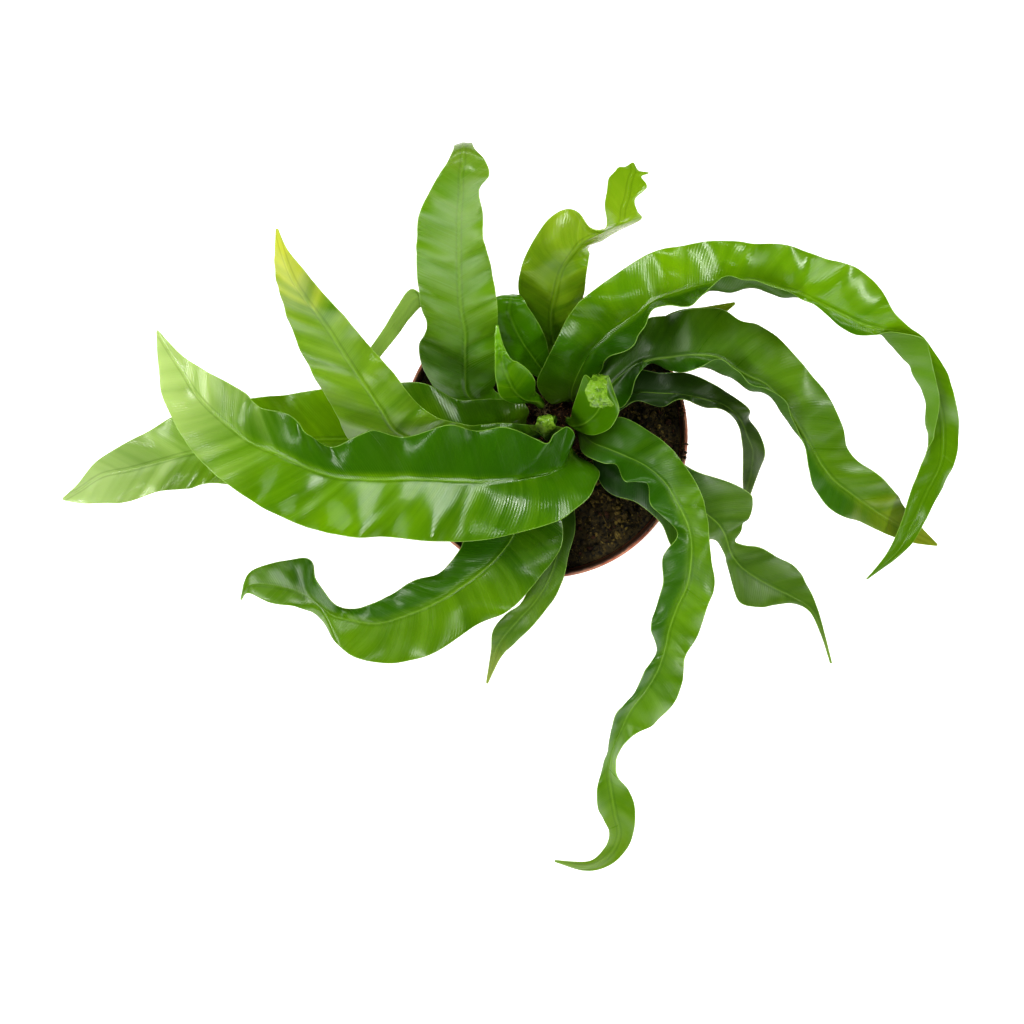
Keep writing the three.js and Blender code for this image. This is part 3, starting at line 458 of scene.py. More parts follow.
        ((27, 25, 185), (22, 26, 0), (31, 24, 0)),
        ((26, 20, 185), (20, 22, 0), (31, 20, 0)),
        ((27, 16, 181), (22, 17, 0), (33, 17, 0)),
        ((28, 14, 176), (23, 14, 0), (34, 15, 0)),
    )},
    "young_frond_3": {"stem": (4, 8), "tip": (0, 9, 143), "rows": (
        ((3, 5, 125), (5, 3, 1), (1, 5, 1)),
        ((2, 0, 129), (8, 2, 2), (-5, 2, 2)),
        ((1, -2, 135), (11, 3, 2), (-8, 4, 2)),
        ((0, 0, 141), (8, 4, 1), (-7, 5, 1)),
        ((0, 4, 146), (5, 5, 0), (-5, 5, 0)),
        ((0, 7, 149), (4, 8, 0), (-4, 7, 0)),
        ((0, 9, 147), (3, 10, 0), (-3, 9, 0)),
    )},
}

view = {"eyeX": -16.5, "eyeY": -38.5, "rimHeight": 115, "eyeAboveRim": 1500}  # mm
blade = {  # mm
    "stemFoot": 108, "stemNeck": 119, "stemHalfWidth": 2.1, "tipHalfWidth": 0.5,
    "middleRise": 0.35, "halfSwell": 1.4, "fullSwellWidth": 20,  # bulge between midrib and edge
    "step": 1.3, "acrossHalf": 13,               # fineness of the mesh
    "nearRib": (0, 0.55, 1.1, 1.8, 2.8),         # where the mesh is finer
    "thickness": 0.6, "edgeThickness": 0.42, "edgeTaper": 1.5, "edgeOut": 0.14,
    "ribUp": 0.75, "ribDown": 1.6, "ribWidth": 1.1,
    "grooveAway": 2.0, "grooveWidth": 0.8, "grooveDepth": 0.12,
    "stalkRadius": 1.5, "stalkCore": 0.25,
    "ripples": ((24.0, 0.45), (14.5, 0.2), (8.7, 0.05)),  # length and height
    "veinSlope": 0.5, "veinSlopeGain": 0.4,      # toward the tip, per mm from the midrib
    "halfShift": 37.0,                           # the halves ripple out of step
    "rippleStart": 8, "fullRippleWidth": 16,
    "ruffle": (14.0, 0.2), "ruffleDrift": 9.1, "fullRuffleWidth": 10,
    "stalkWidth": (6, 2.6), "stalkShare": (0.3, 0.15),  # where a blade becomes a round stalk
    "crumpleStart": 0.7, "crumpleHeight": 1.1, "crumpleScale": 0.5,  # the coil of a young frond
    "insideBox": 0.05,
}


def truePlace(places):
    places = np.asarray(places, dtype=float)
    eye = np.array([view["eyeX"], view["eyeY"]])
    pull = 1 - (places[..., 2:3] - view["rimHeight"]) / view["eyeAboveRim"]
    return np.concatenate([eye + (places[..., :2] - eye) * pull, places[..., 2:3]], axis=-1)


def placesAcross(row):
    rib, left, right = row[:3]
    bends = (list(row[3:]) + [None, None])[:2]

    def middle(edge, bend):
        if bend:
            return (bend[0], bend[1], rib[2] + bend[2])
        width = math.hypot(edge[0] - rib[0], edge[1] - rib[1])
        rise = blade["middleRise"] * edge[2] + blade["halfSwell"] * min(1, width / blade["fullSwellWidth"])
        return ((rib[0] + edge[0]) / 2, (rib[1] + edge[1]) / 2, rib[2] + rise)

    return truePlace([
        (left[0], left[1], rib[2] + left[2]), middle(left, bends[0]), rib,
        middle(right, bends[1]), (right[0], right[1], rib[2] + right[2]),
    ])


def narrowRow(centre, neighbour, halfWidth, level):
    across = neighbour[-1] - neighbour[0]
    if level:
        across[2] = 0
    across = across / np.linalg.norm(across)
    return np.array([np.asarray(centre) + across * halfWidth * share
                     for share in (-1, -0.5, 0, 0.5, 1)])


def smoothAlong(points, places):
    last = len(points) - 1
    i = np.clip(np.floor(places).astype(int), 0, last - 1)
    t = (places - i)[:, None, None]
    p0, p1 = points[np.maximum(i - 1, 0)], points[i]
    p2, p3 = points[i + 1], points[np.minimum(i + 2, last)]
    return (2 * p1 + (p2 - p0) * t + (2 * p0 - 5 * p1 + 4 * p2 - p3) * t ** 2
            + (3 * p1 - p0 - 3 * p2 + p3) * t ** 3) / 2


def unit(vectors):
    return vectors / np.maximum(np.linalg.norm(vectors, axis=-1, keepdims=True), 1e-9)


def facing(surface):
    along = np.gradient(surface, axis=0)
    across = np.gradient(surface, axis=1)
    return unit(np.cross(across, along))


def smoothStep(x):
    x = np.clip(x, 0, 1)
    return x * x * (3 - 2 * x)


def bladeSurface(frond):
    rows = [placesAcross(row) for row in frond["rows"]]
    foot = narrowRow((*frond["stem"], blade["stemFoot"]), rows[0], blade["stemHalfWidth"], True)
    neck = narrowRow((*frond["stem"], blade["stemNeck"]), rows[0], blade["stemHalfWidth"], True)
    tip = narrowRow(truePlace(frond["tip"]), rows[-1], blade["tipHalfWidth"], False)
    points = np.array([foot, neck, *rows, tip])
    spans = np.linalg.norm(np.diff(points, axis=0), axis=2).max(axis=1)
    places = [0.0]
    for i, span in enumerate(spans):
        count = max(3, math.ceil(span / blade["step"]))
        places += [i + (k + 1) / count for k in range(count)]
    lines = smoothAlong(points, np.array(places))
    nearRib = np.array(blade["nearRib"])
    outerCount = blade["acrossHalf"] - len(nearRib) + 1
    outer = np.sin(np.pi / 2 * np.arange(1, outerCount + 1) / outerCount)

    def half(middle, edge):
        rib = lines[:, 2]
        length = np.linalg.norm(middle - rib, axis=1) + np.linalg.norm(edge - middle, axis=1)
        inner = nearRib[None, :] * np.minimum(1, length / 8)[:, None] / length[:, None]
        start = inner[:, -1:]
        u = np.concatenate([inner, start + (1 - start) * outer[None, :]], axis=1)[:, :, None]
        return (rib[:, None] * (2 * u * u - 3 * u + 1) + middle[:, None] * (4 * u - 4 * u * u)
                + edge[:, None] * (2 * u * u - u))

    left = half(lines[:, 1], lines[:, 0])[:, ::-1]
    right = half(lines[:, 3], lines[:, 4])
    return np.concatenate([left, right[:, 1:]], axis=1)


def bladeMeasures(surface):
    # how far each place is along the midrib, across from it and in from the edge, in mm
    middle = surface.shape[1] // 2
    ribSteps = np.linalg.norm(np.diff(surface[:, middle], axis=0), axis=1)
    along = np.concatenate([[0], np.cumsum(ribSteps)])
    steps = np.linalg.norm(np.diff(surface, axis=1), axis=2)
    left = -np.cumsum(steps[:, :middle][:, ::-1], axis=1)[:, ::-1]
    right = np.cumsum(steps[:, middle:], axis=1)
    across = np.concatenate([left, np.zeros((len(surface), 1)), right], axis=1)
    halfWidth = np.where(across < 0, -across[:, :1], across[:, -1:])
    inFromEdge = np.maximum(halfWidth - np.abs(across), 0)
    share = along / along[-1]
    return along[:, None], across, halfWidth, inFromEdge, share[:, None]


def waved(surface, measures, gentle, dice):
    # ripples along the side veins, and a ruffled margin
    along, across, halfWidth, _, share = measures
    away = np.abs(across)
    slope = blade["veinSlope"] + blade["veinSlopeGain"] * share
    veinStart = along - slope * away + np.where(across < 0, blade["halfShift"], 0.0)
    strength = smoothStep(away / blade["rippleStart"]) * gentle
    strength = strength * np.minimum(1, halfWidth / blade["fullRippleWidth"])
    lift = np.zeros_like(away)
    for length, height in blade["ripples"]:
        lift += height * np.sin(2 * np.pi * veinStart / length + dice.uniform(0, 6.28)) * strength
    length, height = blade["ruffle"]
    turn = dice.uniform(0, 6.28)
    drift = np.sin(along / blade["ruffleDrift"] + turn) * 1.3
    waver = np.sin(2 * np.pi * along / length + turn + drift + (across < 0) * 2)
    atMargin = (away / np.maximum(halfWidth, 0.1)) ** 4
    atMargin = atMargin * np.minimum(1, halfWidth / blade["fullRuffleWidth"])
    lift += height * gentle * waver * atMargin
    return surface + facing(surface) * lift[..., None], veinStart


def bodyHeights(measures):
    # how far the upper and the lower face stand off the middle of the blade
    _, across, halfWidth, inFromEdge, share = measures
    away = np.abs(across)
    thick, thin = blade["thickness"] / 2, blade["edgeThickness"] / 2
    body = thick + (thin - thick) * smoothStep(1 - inFromEdge / blade["edgeTaper"])
    ridge = np.exp(-(across / blade["ribWidth"]) ** 2)
    groove = np.exp(-((away - blade["grooveAway"]) / blade["grooveWidth"]) ** 2)
    fade = 1 - share
    up = body + ridge * (blade["ribUp"] * fade ** 1.2 + 0.1) - groove * blade["grooveDepth"] * fade
    down = body + ridge * (blade["ribDown"] * fade ** 1.3 + 0.2)
    wide, narrow = blade["stalkWidth"]
    end, start = blade["stalkShare"]
    stalk = smoothStep((wide - halfWidth) / (wide - narrow))
    stalk = stalk * smoothStep((end - share) / (end - start))
    roundness = np.sqrt(np.clip(1 - (away / np.maximum(halfWidth, 0.1)) ** 2, 0, 1))
    stalkBody = blade["stalkRadius"] * roundness + blade["stalkCore"]
    return up + (stalkBody - up) * stalk, down + (stalkBody - down) * stalk


def makeBlade(name, frond, materials, gentle):
    surface = bladeSurface(frond)
    measures = bladeMeasures(surface)
    along, across, _, inFromEdge, share = measures
    surface, veinStart = waved(surface, measures, gentle, random.Random(name))
    normal = facing(surface)
    up, down = bodyHeights(measures)
    if gentle < 1:
        # the coiled end of a young frond is crumpled
        crumple = smoothStep((share - blade["crumpleStart"]) / 0.12) * blade["crumpleHeight"]
        places = zip(np.broadcast_to(along, across.shape).ravel() * blade["crumpleScale"],
                     across.ravel() * blade["crumpleScale"])
        folds = np.array([noise.noise(Vector((a, b, 3.0))) for a, b in places])
        surface = surface + normal * (crumple * folds.reshape(across.shape))[..., None]
    upper = surface + normal * up[..., None]
    lower = surface - normal * down[..., None]

    def margin(column, inward):
        out = unit(surface[:, column] - surface[:, inward])
        return (upper[:, column] + lower[:, column]) / 2 + out * blade["edgeOut"]

    columns = surface.shape[1]
    ring = np.concatenate([upper, margin(-1, -2)[:, None], lower[:, ::-1], margin(0, 1)[:, None]], axis=1)
    low, high = (np.array(corner) / mm for corner in cadBox)
    # a margin that leans out stays in the plant's own box
    ring = np.clip(ring, low + blade["insideBox"], high - blade["insideBox"])

    def ringOf(values):
        values = np.broadcast_to(values, across.shape)
        return np.concatenate([values, values[:, -1:], values[:, ::-1], values[:, :1]], axis=1)

    maps = {
        "veins": np.stack([ringOf(veinStart), ringOf(across)], axis=-1),
        "leaf": np.stack([ringOf(inFromEdge), ringOf(share)], axis=-1),
    }
    rowCount, around = ring.shape[:2]
    ids = np.arange(rowCount * around).reshape(rowCount, around)
    nextIds = np.roll(ids, -1, axis=1)
    quads = np.stack([ids[:-1], nextIds[:-1], nextIds[1:], ids[1:]], axis=-1).reshape(-1, 4)
    slots = np.zeros((rowCount - 1, around), dtype=int)
    slots[:, columns + 1:2 * columns] = 1
    faces = quads.tolist() + [ids[0][::-1].tolist(), ids[-1].tolist()]
    piece = addObject(name, ring.reshape(-1, 3) * mm, faces, materials, slots.ravel().tolist() + [0, 0])
    corners = np.empty(len(piece.data.loops), dtype=np.int32)
    piece.data.loops.foreach_get("vertex_index", corners)
    for mapName, values in maps.items():
        layer = piece.data.uv_layers.new(name=mapName)
        layer.data.foreach_set("uv", values.reshape(-1, 2)[corners].astype(np.float32).ravel())
    return piece


# Living fern blade: thin, waxy and glossy above, so softboxes show as pale bands broken by the
# close side veins; paler and duller below, with a thin see-through edge whose pale line is partly painted
# highlight.
leafLooks = {
    "veinSpacing": 1.25,  # mm
    "nest": (0.008, 0.008, 0.115),  # painted shade: the leaves are painted darker toward this middle of the crown, where the fronds shade one another
    "nestShadeReach": (0.035, 0.115), "halfShadeReach": (0.13, 0.23), "shadedReach": (0.05, 0.095),  # m
    "undersides": {  # colour, how much of it, roughness, how much painted shade darkens it toward the base
        "frond_h": ("#608C20", 0.6, 0.4, 0.8),
        "frond_e": ("#90B050", 0.6, 0.5, 0),
        "young_frond_1": ("#74A810", 0.8, 0.14, 0),
        "young_frond_2": ("#84AE30", 0.8, 0.08, 0),
        "young_frond_3": ("#8CB438", 0.8, 0.08, 0),
    },
    "underside": ("#4A7428", 0.35, 0.45, 0.6),  # of the other fronds
    "freshRoughness": 0.14,
    "roughness": {  # the drier fronds shine less than a fresh one
        "frond_d": 0.2, "frond_i": 0.26, "frond_j": 0.3, "frond_l": 0.32,
        "frond_m": 0.27, "frond_o": 0.2, "frond_p": 0.3,
    },
    "shadedBase": {  # the bases of the lowest fronds stay dark
        "frond_h": 0.4, "frond_i": 0.15, "frond_j": 0.5, "frond_l": 0.75, "frond_o": 0.3, "frond_p": 0.4,
    },
    # painted shade: their right half is painted darker near the nest
    "shadedHalfFronds": ("frond_a", "frond_h", "frond_i", "frond_m", "frond_o"),
    "besideRib": 1.3, "ribLine": (0.2, 0.65), "edgeLine": (0.1, 0.4),  # mm
    "veinColour": "#90B83C", "halfShadeColour": "#306000", "shadedColour": "#143C00",
    "ribPaleAndHighlightColour": "#8CB440", "ribSideShadeColour": "#264C00", "edgePaleAndHighlightColour": "#A4CC5C",
    "stalkColour": "#303C08", "undersideShadeColour": "#28480C", "foldShadeColour": "#2C5A04",
    "colours": {  # lit, shade, tip, where the tip colour starts
        # frond_a and frond_b: the pale tip colour is partly painted sheen
        "frond_a": ("#74A200", "#406E00", "#B4CE78", 0.74),
        "frond_b": ("#78A200", "#426E00", "#B0CA7C", 0.66),
        "frond_c": ("#82A828", "#46740C", "#C8CE48", 0.76),
        "frond_d": ("#729C18", "#54860E", "#728E30", 0.8),
        "frond_e": ("#7CA030", "#5C8A14", "#88A83C", 0.85),
        "frond_f": ("#609800", "#427600", "#5C900C", 0.9),
        # frond_g: the lit colour is pushed pale so its streaks paint sheen bands
        "frond_g": ("#AACA2C", "#608C0C", "#7CA410", 0.7),
        "frond_h": ("#78A402", "#487A02", "#507A02", 0.48),
        "frond_i": ("#5C8402", "#3A6200", "#7E8C12", 0.78),
        "frond_j": ("#486414", "#2E480A", "#567022", 0.9),
        "frond_k": ("#7CA010", "#507C00", "#98AC24", 0.6),
        "frond_l": ("#52760E", "#2E5200", "#66841A", 0.85),
        "frond_m": ("#649000", "#386400", "#628408", 0.75),
        "frond_o": ("#648E00", "#345E00", "#5C8606", 0.85),
        "frond_p": ("#628810", "#3C6400", "#7C8C1C", 0.8),
        "young_frond_1": ("#78A800", "#467A00", "#6CA408", 0.8),
        "young_frond_2": ("#78A400", "#4A7800", "#4E7C00", 0.95),
        # young_frond_3: painted dark for the shade its bowl sits in
        "young_frond_3": ("#3C6A00", "#285000", "#487400", 0.95),
    },
}


def leafMaterial(name, node, seed, below=False):
    lit, shade, tipTintAndSheen, tipStart = leafLooks["colours"][node]
    material, tree = newMaterial(name)
    veins = addNode(tree, "SeparateXYZ", {}, {0: addNode(tree, "UVMap", {"uv_map": "veins"}).outputs[0]})
    leaf = addNode(tree, "SeparateXYZ", {}, {0: addNode(tree, "UVMap", {"uv_map": "leaf"}).outputs[0]})
    start, across = veins.outputs[0], veins.outputs[1]
    inFromEdge, share = leaf.outputs[0], leaf.outputs[1]
    away = addNode(tree, "Math", {"operation": "ABSOLUTE"}, {0: across}).outputs[0]
    place = addNode(tree, "TexCoord").outputs["Object"]
    fromNest = addNode(tree, "VectorMath", {"operation": "DISTANCE"}, {
        0: place, 1: leafLooks["nest"]}).outputs["Value"]

    # streaks that run along the side veins, about 3 and 10 mm wide, and 35 mm patches
    slowAway = addNode(tree, "Math", {"operation": "MULTIPLY"}, {0: across, 1: 0.05}).outputs[0]
    along = addNode(tree, "CombineXYZ", {}, {0: start, 1: slowAway, 2: seed * 3.7}).outputs[0]
    streaks = addNode(tree, "TexNoise", {}, {
        "Vector": along, "Scale": 0.3, "Detail": 4, "Roughness": 0.55}).outputs[0]
    wander = addNode(tree, "TexNoise", {}, {"Vector": along, "Scale": 0.1, "Detail": 2}).outputs[0]
    patches = addNode(tree, "TexNoise", {}, {
        "Vector": place, "Scale": 28, "Detail": 3, "Roughness": 0.5}).outputs[0]
    veinLines = addNode(tree, "TexWave", {
        "wave_type": "BANDS", "bands_direction": "X", "wave_profile": "SIN"}, {
        "Vector": along, "Scale": 0.314 / leafLooks["veinSpacing"],
        "Distortion": 1.6, "Detail": 2, "Detail Scale": 0.5}).outputs[1]
    # painted shade: the tone runs darker toward the crown, where the surrounding fronds shade the leaves
    nestShade = addNode(tree, "MapRange", {"interpolation_type": "SMOOTHSTEP"}, {
        "Value": fromNest, "From Min": leafLooks["nestShadeReach"][0], "From Max": leafLooks["nestShadeReach"][1],
        "To Min": -0.2, "To Max": 0.08}).outputs[0]
    tone = addNode(tree, "Math", {"operation": "SUBTRACT"}, {0: nestShade, 1: 0.02}).outputs[0]
    for pattern, weight in ((streaks, 0.26), (wander, 0.4), (patches, 0.5)):
        tone = addNode(tree, "Math", {"operation": "MULTIPLY_ADD"}, {0: pattern, 1: weight, 2: tone}).outputs[0]
    colour = tint(tree, toLinear(shade), [
        (tone, 0.36, 0.8, 0, 1, lit),
        (veinLines, 0.55, 1, 0, 0.02, leafLooks["veinColour"]),
    ], "LINEAR")

    layers = []
    # painted shade on the right half of these fronds near the nest
    if node in leafLooks["shadedHalfFronds"] and not below:
        nearNest = addNode(tree, "MapRange", {"interpolation_type": "SMOOTHSTEP"}, {
            "Value": fromNest, "From Min": leafLooks["halfShadeReach"][0], "From Max": leafLooks["halfShadeReach"][1],
            "To Min": 1, "To Max": 0}).outputs[0]
        layers.append((across, 0, 5, 0, 0.88, leafLooks["halfShadeColour"], nearNest))
    if node in leafLooks["shadedBase"]:
        shaded = leafLooks["shadedBase"][node]
        layers.append((fromNest, *leafLooks["shadedReach"], shaded, 0, leafLooks["shadedColour"]))
    tipward = addNode(tree, "Math", {"operation": "MULTIPLY_ADD"}, {0: wander, 1: 0.25, 2: share}).outputs[0]
    besideRib = addNode(tree, "Math", {"operation": "SUBTRACT"}, {
        0: away, 1: leafLooks["besideRib"]}).outputs[0]
    besideRib = addNode(tree, "Math", {"operation": "ABSOLUTE"}, {0: besideRib}).outputs[0]
    ribFade = addNode(tree, "MapRange", {}, {
        "Value": share, "From Min": 0.35, "From Max": 0.9, "To Min": 1, "To Max": 0.15}).outputs[0]
    layers += [
        (tipward, tipStart + 0.08, 1.12, 0, 1, tipTintAndSheen),  # the tip yellows first; on frond_a and frond_b the pale tip is also painted sheen
        # painted shade in the groove beside the raised midrib
        (besideRib, 0.1, 0.6, 0.22, 0, leafLooks["ribSideShadeColour"]),
        # the midrib: partly its own paler ridge, partly painted highlight, fading toward the tip
        (away, *leafLooks["ribLine"], 0.42, 0, leafLooks["ribPaleAndHighlightColour"], ribFade),
        # the margin: partly its own paler edge, partly painted highlight
        (inFromEdge, *leafLooks["edgeLine"], 0.42, 0, leafLooks["edgePaleAndHighlightColour"]),
        (share, 0.03, 0.12, 0.8, 0, leafLooks["stalkColour"]),
    ]
    colour = tint(tree, colour, layers)

    smoothest = leafLooks["roughness"].get(node, leafLooks["freshRoughness"])
    if below:
        paleColour, paleShare, dull, undersideShade = leafLooks["undersides"].get(node, leafLooks["underside"])
        smoothest = dull - 0.08
        colour = addNode(tree, "Mix", {"data_type": "RGBA"}, {
            0: paleShare, 6: colour, 7: toLinear(paleColour)}).outputs[2]
        # painted shade: the undersides are painted darker toward the base
        colour = tint(tree, colour, [(share, 0.48, 0.7, undersideShade, 0, leafLooks["undersideShadeColour"])])
    # gloss broken by the veins, and a skin grain of about 1 mm
    roughness = addNode(tree, "MapRange", {}, {
        "Value": streaks, "From Min": 0.3, "From Max": 0.7,
        "To Min": smoothest, "To Max": smoothest + 0.14}).outputs[0]
    skin = addNode(tree, "TexNoise", {}, {"Vector": place, "Scale": 900, "Detail": 2}).outputs[0]
    relief = addNode(tree, "Math", {"operation": "MULTIPLY_ADD"}, {0: veinLines, 1: 0.4, 2: streaks}).outputs[0]
    relief = addNode(tree, "Math", {"operation": "MULTIPLY_ADD"}, {0: skin, 1: 0.35, 2: relief}).outputs[0]
    bump = addNode(tree, "Bump", {}, {
        "Height": relief, "Strength": 0.5 if below else 0.32, "Distance": 0.0002}).outputs[0]

    # the coils of the young fronds are crumpled: painted shade darkens the folds, and the crests are wet and
    # shiny
    crumpled = below and "young" in node
    if crumpled:
        crumple = addNode(tree, "TexNoise", {}, {
            "Vector": place, "Scale": 380, "Detail": 2, "Roughness": 0.5}).outputs[0]
        colour = tint(tree, colour, [(crumple, 0.34, 0.52, 0.6, 0, leafLooks["foldShadeColour"])])
        bump = addNode(tree, "Bump", {}, {
            "Height": crumple, "Strength": 0.9, "Distance": 0.0018, "Normal": bump}).outputs[0]
    surface = addNode(tree, "BsdfPrincipled", {}, {
        "Base Color": colour, "Roughness": roughness, "Normal": bump, "IOR": 1.42,
        "Specular IOR Level": 0.3 if below and not crumpled else 0.5,
        "Subsurface Weight": 0.12, "Subsurface Radius": (0.6, 1.0, 0.2), "Subsurface Scale": 0.0008,
    })
    addNode(tree, "OutputMaterial", {}, {"Surface": surface.outputs[0]})
    return material


for number, (node, frond) in enumerate(frondRows.items()):
    upperSkin = leafMaterial("glossyLeafUpper_" + node, node, number)
    lowerSkin = leafMaterial("paleLeafUnderside_" + node, node, number + 40, below=True)
    gentle = 0.25 if node.startswith("young") else 1.0  # a young frond is less waved
    standIn(makeBlade("blade_" + node, frond, [upperSkin, lowerSkin], gentle), node)
print("fronds made")


# Pot: thin terracotta-coloured polypropylene, injection moulded, so it is smooth and faintly
# mottled, duller where peat has dried on, and paler along the worn lip.
pot = {  # mm
    "height": 115, "rimRadius": 71.5, "rimInnerRadius": 69.3, "baseRadius": 50, "wall": 1.8,
    "bandDepth": 17, "bandStep": 2.6, "floor": 2.4, "drainHoles": 8, "drainRadius": 4.5, "drainRing": 36,
    "footStep": 0.6, "footWidth": 4, "recess": (13.4, 4.6), "lipRounding": 1.5, "sides": 168,
    "colour": "#B26A4C", "shadeColour": "#A65F44", "wornColour": "#D09A7C",
    "dustColour": "#5A4030", "peatColour": "#1E160C", "wornHeight": 1.2,
    "dustRise": (60, 116), "liningEnd": (71.3, 71.9), "liningRise": (107, 110),
}
pot["wallTopRadius"] = pot["rimRadius"] - pot["bandStep"] - 1.2
pot["bandFoot"] = pot["height"] - pot["bandDepth"]


def outerRadiusAt(height):
    return pot["baseRadius"] + (pot["wallTopRadius"] - pot["baseRadius"]) * height / pot["bandFoot"]


def roundCorner(before, corner, after, radius, steps=4):
    # points of a smooth bend in place of a sharp corner of the profile
    p, a, b = Vector(corner), Vector(before), Vector(after)
    start = p + (a - p).normalized() * radius
    end = p + (b - p).normalized() * radius
    return [tuple(start * (1 - t) ** 2 + p * 2 * t * (1 - t) + end * t ** 2)
            for t in (k / steps for k in range(steps + 1))]


def turned(profile, sides):
    # profile: (radius, height) from the bottom's middle round to the inside's middle
    vertices, faces, rings = [], [], []
    for radius, height in profile:
        if radius < 1e-6:
            rings.append([len(vertices)])
            vertices.append((0, 0, height))
            continue
        rings.append(list(range(len(vertices), len(vertices) + sides)))
        for k in range(sides):
            angle = 2 * math.pi * k / sides
            vertices.append((radius * math.cos(angle), radius * math.sin(angle), height))
    for lower, upper in zip(rings, rings[1:]):
        for k in range(sides):
            n = (k + 1) % sides
            if len(lower) == 1:
                faces.append((lower[0], upper[k], upper[n]))
            elif len(upper) == 1:
                faces.append((lower[k], lower[n], upper[0])[::-1])
            else:
                faces.append((lower[k], upper[k], upper[n], lower[n]))
    return vertices, faces


def potMaterial():
    material, tree = newMaterial("mouldedTerracottaPolypropylene")
    place = addNode(tree, "TexCoord").outputs["Object"]
    parts = addNode(tree, "SeparateXYZ", {}, {0: place})
    height = parts.outputs[2]
    mottle = addNode(tree, "TexNoise", {}, {
        "Vector": place, "Scale": 55, "Detail": 6, "Roughness": 0.6}).outputs[0]
    flow = addNode(tree, "Mapping", {}, {"Vector": place, "Scale": (1, 1, 6)}).outputs[0]
    flow = addNode(tree, "TexNoise", {}, {"Vector": flow, "Scale": 22, "Detail": 3}).outputs[0]
    rubbed = addNode(tree, "TexNoise", {}, {"Vector": place, "Scale": 160, "Detail": 4}).outputs[0]
    rubbed = addNode(tree, "MapRange", {}, {
        "Value": rubbed, "From Min": 0.42, "From Max": 0.62, "To Max": 0.7}).outputs[0]
    # dried peat in blotches, more of it near the lip
    blotches = addNode(tree, "TexNoise", {}, {
        "Vector": place, "Scale": 95, "Detail": 8, "Roughness": 0.7}).outputs[0]
    dust = addNode(tree, "MapRange", {}, {
        "Value": height, "From Min": pot["dustRise"][0] * mm, "From Max": pot["dustRise"][1] * mm,
        "To Max": 0.12}).outputs[0]
    dust = addNode(tree, "Math", {"operation": "ADD"}, {0: blotches, 1: dust}).outputs[0]
    dust = addNode(tree, "MapRange", {}, {
        "Value": dust, "From Min": 0.66, "From Max": 0.78, "To Max": 0.7}).outputs[0]
    # wet peat clings to the inside of the lip in a ragged line
    flat = addNode(tree, "CombineXYZ", {}, {0: parts.outputs[0], 1: parts.outputs[1], 2: 0}).outputs[0]
    outward = addNode(tree, "VectorMath", {"operation": "LENGTH"}, {0: flat}).outputs["Value"]
    outward = addNode(tree, "Math", {"operation": "MULTIPLY_ADD"}, {
        0: blotches, 1: 0.003, 2: outward}).outputs[0]
    aboveBand = addNode(tree, "MapRange", {}, {
        "Value": height, "From Min": pot["liningRise"][0] * mm,
        "From Max": pot["liningRise"][1] * mm}).outputs[0]
    lip, wornFoot = pot["height"] * mm, (pot["height"] - pot["wornHeight"]) * mm
    liningStart, liningEnd = (radius * mm for radius in pot["liningEnd"])
    colour = tint(tree, toLinear(pot["shadeColour"]), [
        (mottle, 0.35, 0.65, 0, 1, pot["colour"]),
        (height, wornFoot, lip, 0, 1, pot["wornColour"], rubbed),
        (dust, 0, 1, 0, 1, pot["dustColour"]),
        (outward, liningStart, liningEnd, 0.92, 0, pot["peatColour"], aboveBand),
    ], "LINEAR")
    dull = addNode(tree, "Math", {"operation": "MULTIPLY_ADD"}, {0: flow, 1: 0.25, 2: 0.3}).outputs[0]
    dull = addNode(tree, "Math", {"operation": "MULTIPLY_ADD"}, {0: dust, 1: 0.4, 2: dull}).outputs[0]
    # 0.7 mm spark grain
    grain = addNode(tree, "TexNoise", {}, {"Vector": place, "Scale": 1500, "Detail": 2}).outputs[0]
    relief = addNode(tree, "Math", {"operation": "MULTIPLY_ADD"}, {0: dust, 1: 1.5, 2: grain}).outputs[0]
    bump = addNode(tree, "Bump", {}, {
        "Height": relief, "Strength": 0.4, "Distance": 0.00015}).outputs[0]
    surface = addNode(tree, "BsdfPrincipled", {}, {
        "Base Color": colour, "Roughness": dull, "Normal": bump, "IOR": 1.49,
        "Subsurface Weight": 0.06, "Subsurface Radius": (1.0, 0.4, 0.25), "Subsurface Scale": 0.001})
    addNode(tree, "OutputMaterial", {}, {"Surface": surface.outputs[0]})
    return material


